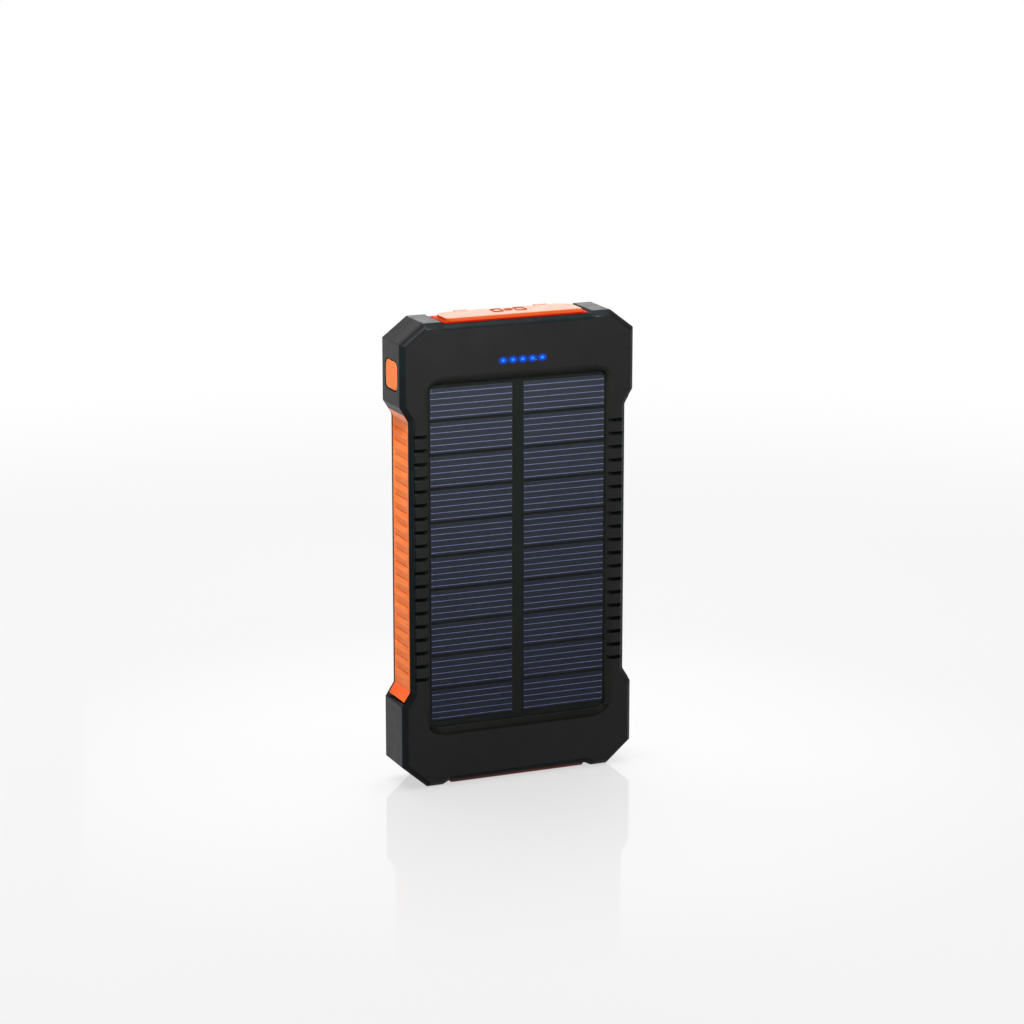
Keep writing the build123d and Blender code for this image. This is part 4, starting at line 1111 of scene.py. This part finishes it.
def build_marks(work):
    """Raised outlines of the three sockets under the lid."""
    base = flap_high.z - 0.4
    top = flap_high.z
    for offset, (wide, deep) in MARKS:
        x, y = MARK_MID[0] + offset, MARK_MID[1]
        loops = []
        for inset, z in (
            (0.0, base), (0.0, top - 0.05), (0.05, top),
            (MARK_LINE - 0.05, top), (MARK_LINE, top - 0.05), (MARK_LINE, base),
        ):
            outline = rounded_rectangle(
                x - wide / 2 + inset, x + wide / 2 - inset,
                y - deep / 2 + inset, y + deep / 2 - inset,
                [max(0.12, MARK_RADIUS - inset)] * 4,
            )
            loops.append([(a, b, z) for a, b in outline])
        rows = ring_loft(work, loops, False, False)
        count = len(rows[0])
        for index in range(count):
            after = (index + 1) % count
            work.faces.new((rows[-1][index], rows[-1][after], rows[0][after], rows[0][index]))


marks = new_piece("lid_marks", mesh_from("lid_marks", build_marks), "port_flap", "flap_orange")
marks.data.materials.append(MATERIALS["flap_mark"])
smooth_shade(marks, 40)

STRAP_X = 12.95
STRAP_PATH = [      # y, z, thickness, width, from the anchor over the hinge to the lid
    (7.45, 140.2, 0.85, 3.4), (7.45, 140.9, 0.8, 3.4), (7.48, 141.3, 0.66, 3.45),
    (7.48, 141.7, 0.6, 4.1), (7.4, 142.03, 0.56, 4.3), (7.15, 142.26, 0.54, 4.3),
    (6.75, 142.32, 0.52, 4.3), (6.3, 142.29, 0.52, 4.3), (5.9, 142.2, 0.52, 4.2),
    (5.5, 142.0, 0.5, 4.0),
]


def build_strap(middle_x):
    def build(work):
        rings = []
        for index, (y, z, thick, wide) in enumerate(STRAP_PATH):
            before = STRAP_PATH[max(0, index - 1)]
            after = STRAP_PATH[min(len(STRAP_PATH) - 1, index + 1)]
            along_y, along_z = after[0] - before[0], after[1] - before[1]
            length = math.hypot(along_y, along_z)
            out_y, out_z = along_z / length, -along_y / length
            outline = rounded_rectangle(
                middle_x - wide / 2, middle_x + wide / 2, -thick / 2, thick / 2, [0.2] * 4, 4,
            )
            rings.append([(a, y + b * out_y, z + b * out_z) for a, b in outline])
        ring_loft(work, rings)

    return build


for side, side_name in ((-1, "left"), (1, "right")):
    strap = new_piece(
        f"hinge_strap_{side_name}",
        mesh_from(f"hinge_strap_{side_name}", build_strap(side * STRAP_X)),
        None, "flap_orange",
    )
    strap.data.materials.append(MATERIALS["flap_orange"])
    strap.data.materials.append(MATERIALS["flap_crown_highlight"])
    # The straps' top faces take the paler crown finish too: painted highlight.
    for polygon in strap.data.polygons:
        if polygon.normal.z > 0.8:
            polygon.material_index = 1
    smooth_shade(strap, 50)
    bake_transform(strap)


# ---------------------------------------------------------------- finishes on the pieces


def round_cad_node(node, width):
    """Rounds the edges of a CAD node that stays in view, by modifiers only."""
    joined = node.modifiers.new("joined_corners", "WELD")
    joined.merge_threshold = WELD_REACH
    rounding = node.modifiers.new("rounded_edges", "BEVEL")
    rounding.limit_method = "ANGLE"
    rounding.angle_limit = math.radians(40)
    rounding.width = width * MM
    rounding.segments = 2
    rounding.use_clamp_overlap = True


dark_for_front_light = bpy.data.collections.new("dark_for_front_light")
for piece_name in ("floor", "flap_lid", "lid_marks", "hinge_strap_left", "hinge_strap_right"):
    dark_for_front_light.objects.link(bpy.data.objects[piece_name])
front_light.light_linking.receiver_collection = dark_for_front_light
for member in dark_for_front_light.collection_objects:
    member.light_linking.link_state = "EXCLUDE"

ROUNDED_NODES = {
    "flap_anchor": 0.15, "usb_socket_shell_left": 0.08, "usb_socket_shell_right": 0.08,
    "micro_socket_shell": 0.06, "usb_tongue_left": 0.1, "usb_tongue_right": 0.1,
    "micro_tongue": 0.08, "torch_lens": 0.15,
}
for node in NODES.values():
    finish = MATERIALS[node.data.materials[0].name]
    for material_slot in node.material_slots:
        material_slot.material = finish
for node_name, edge_width in ROUNDED_NODES.items():
    round_cad_node(NODES[node_name], edge_width)

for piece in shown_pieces():
    if "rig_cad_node" not in piece and not piece.data.materials:
        piece.data.materials.append(MATERIALS[piece["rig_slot"]])
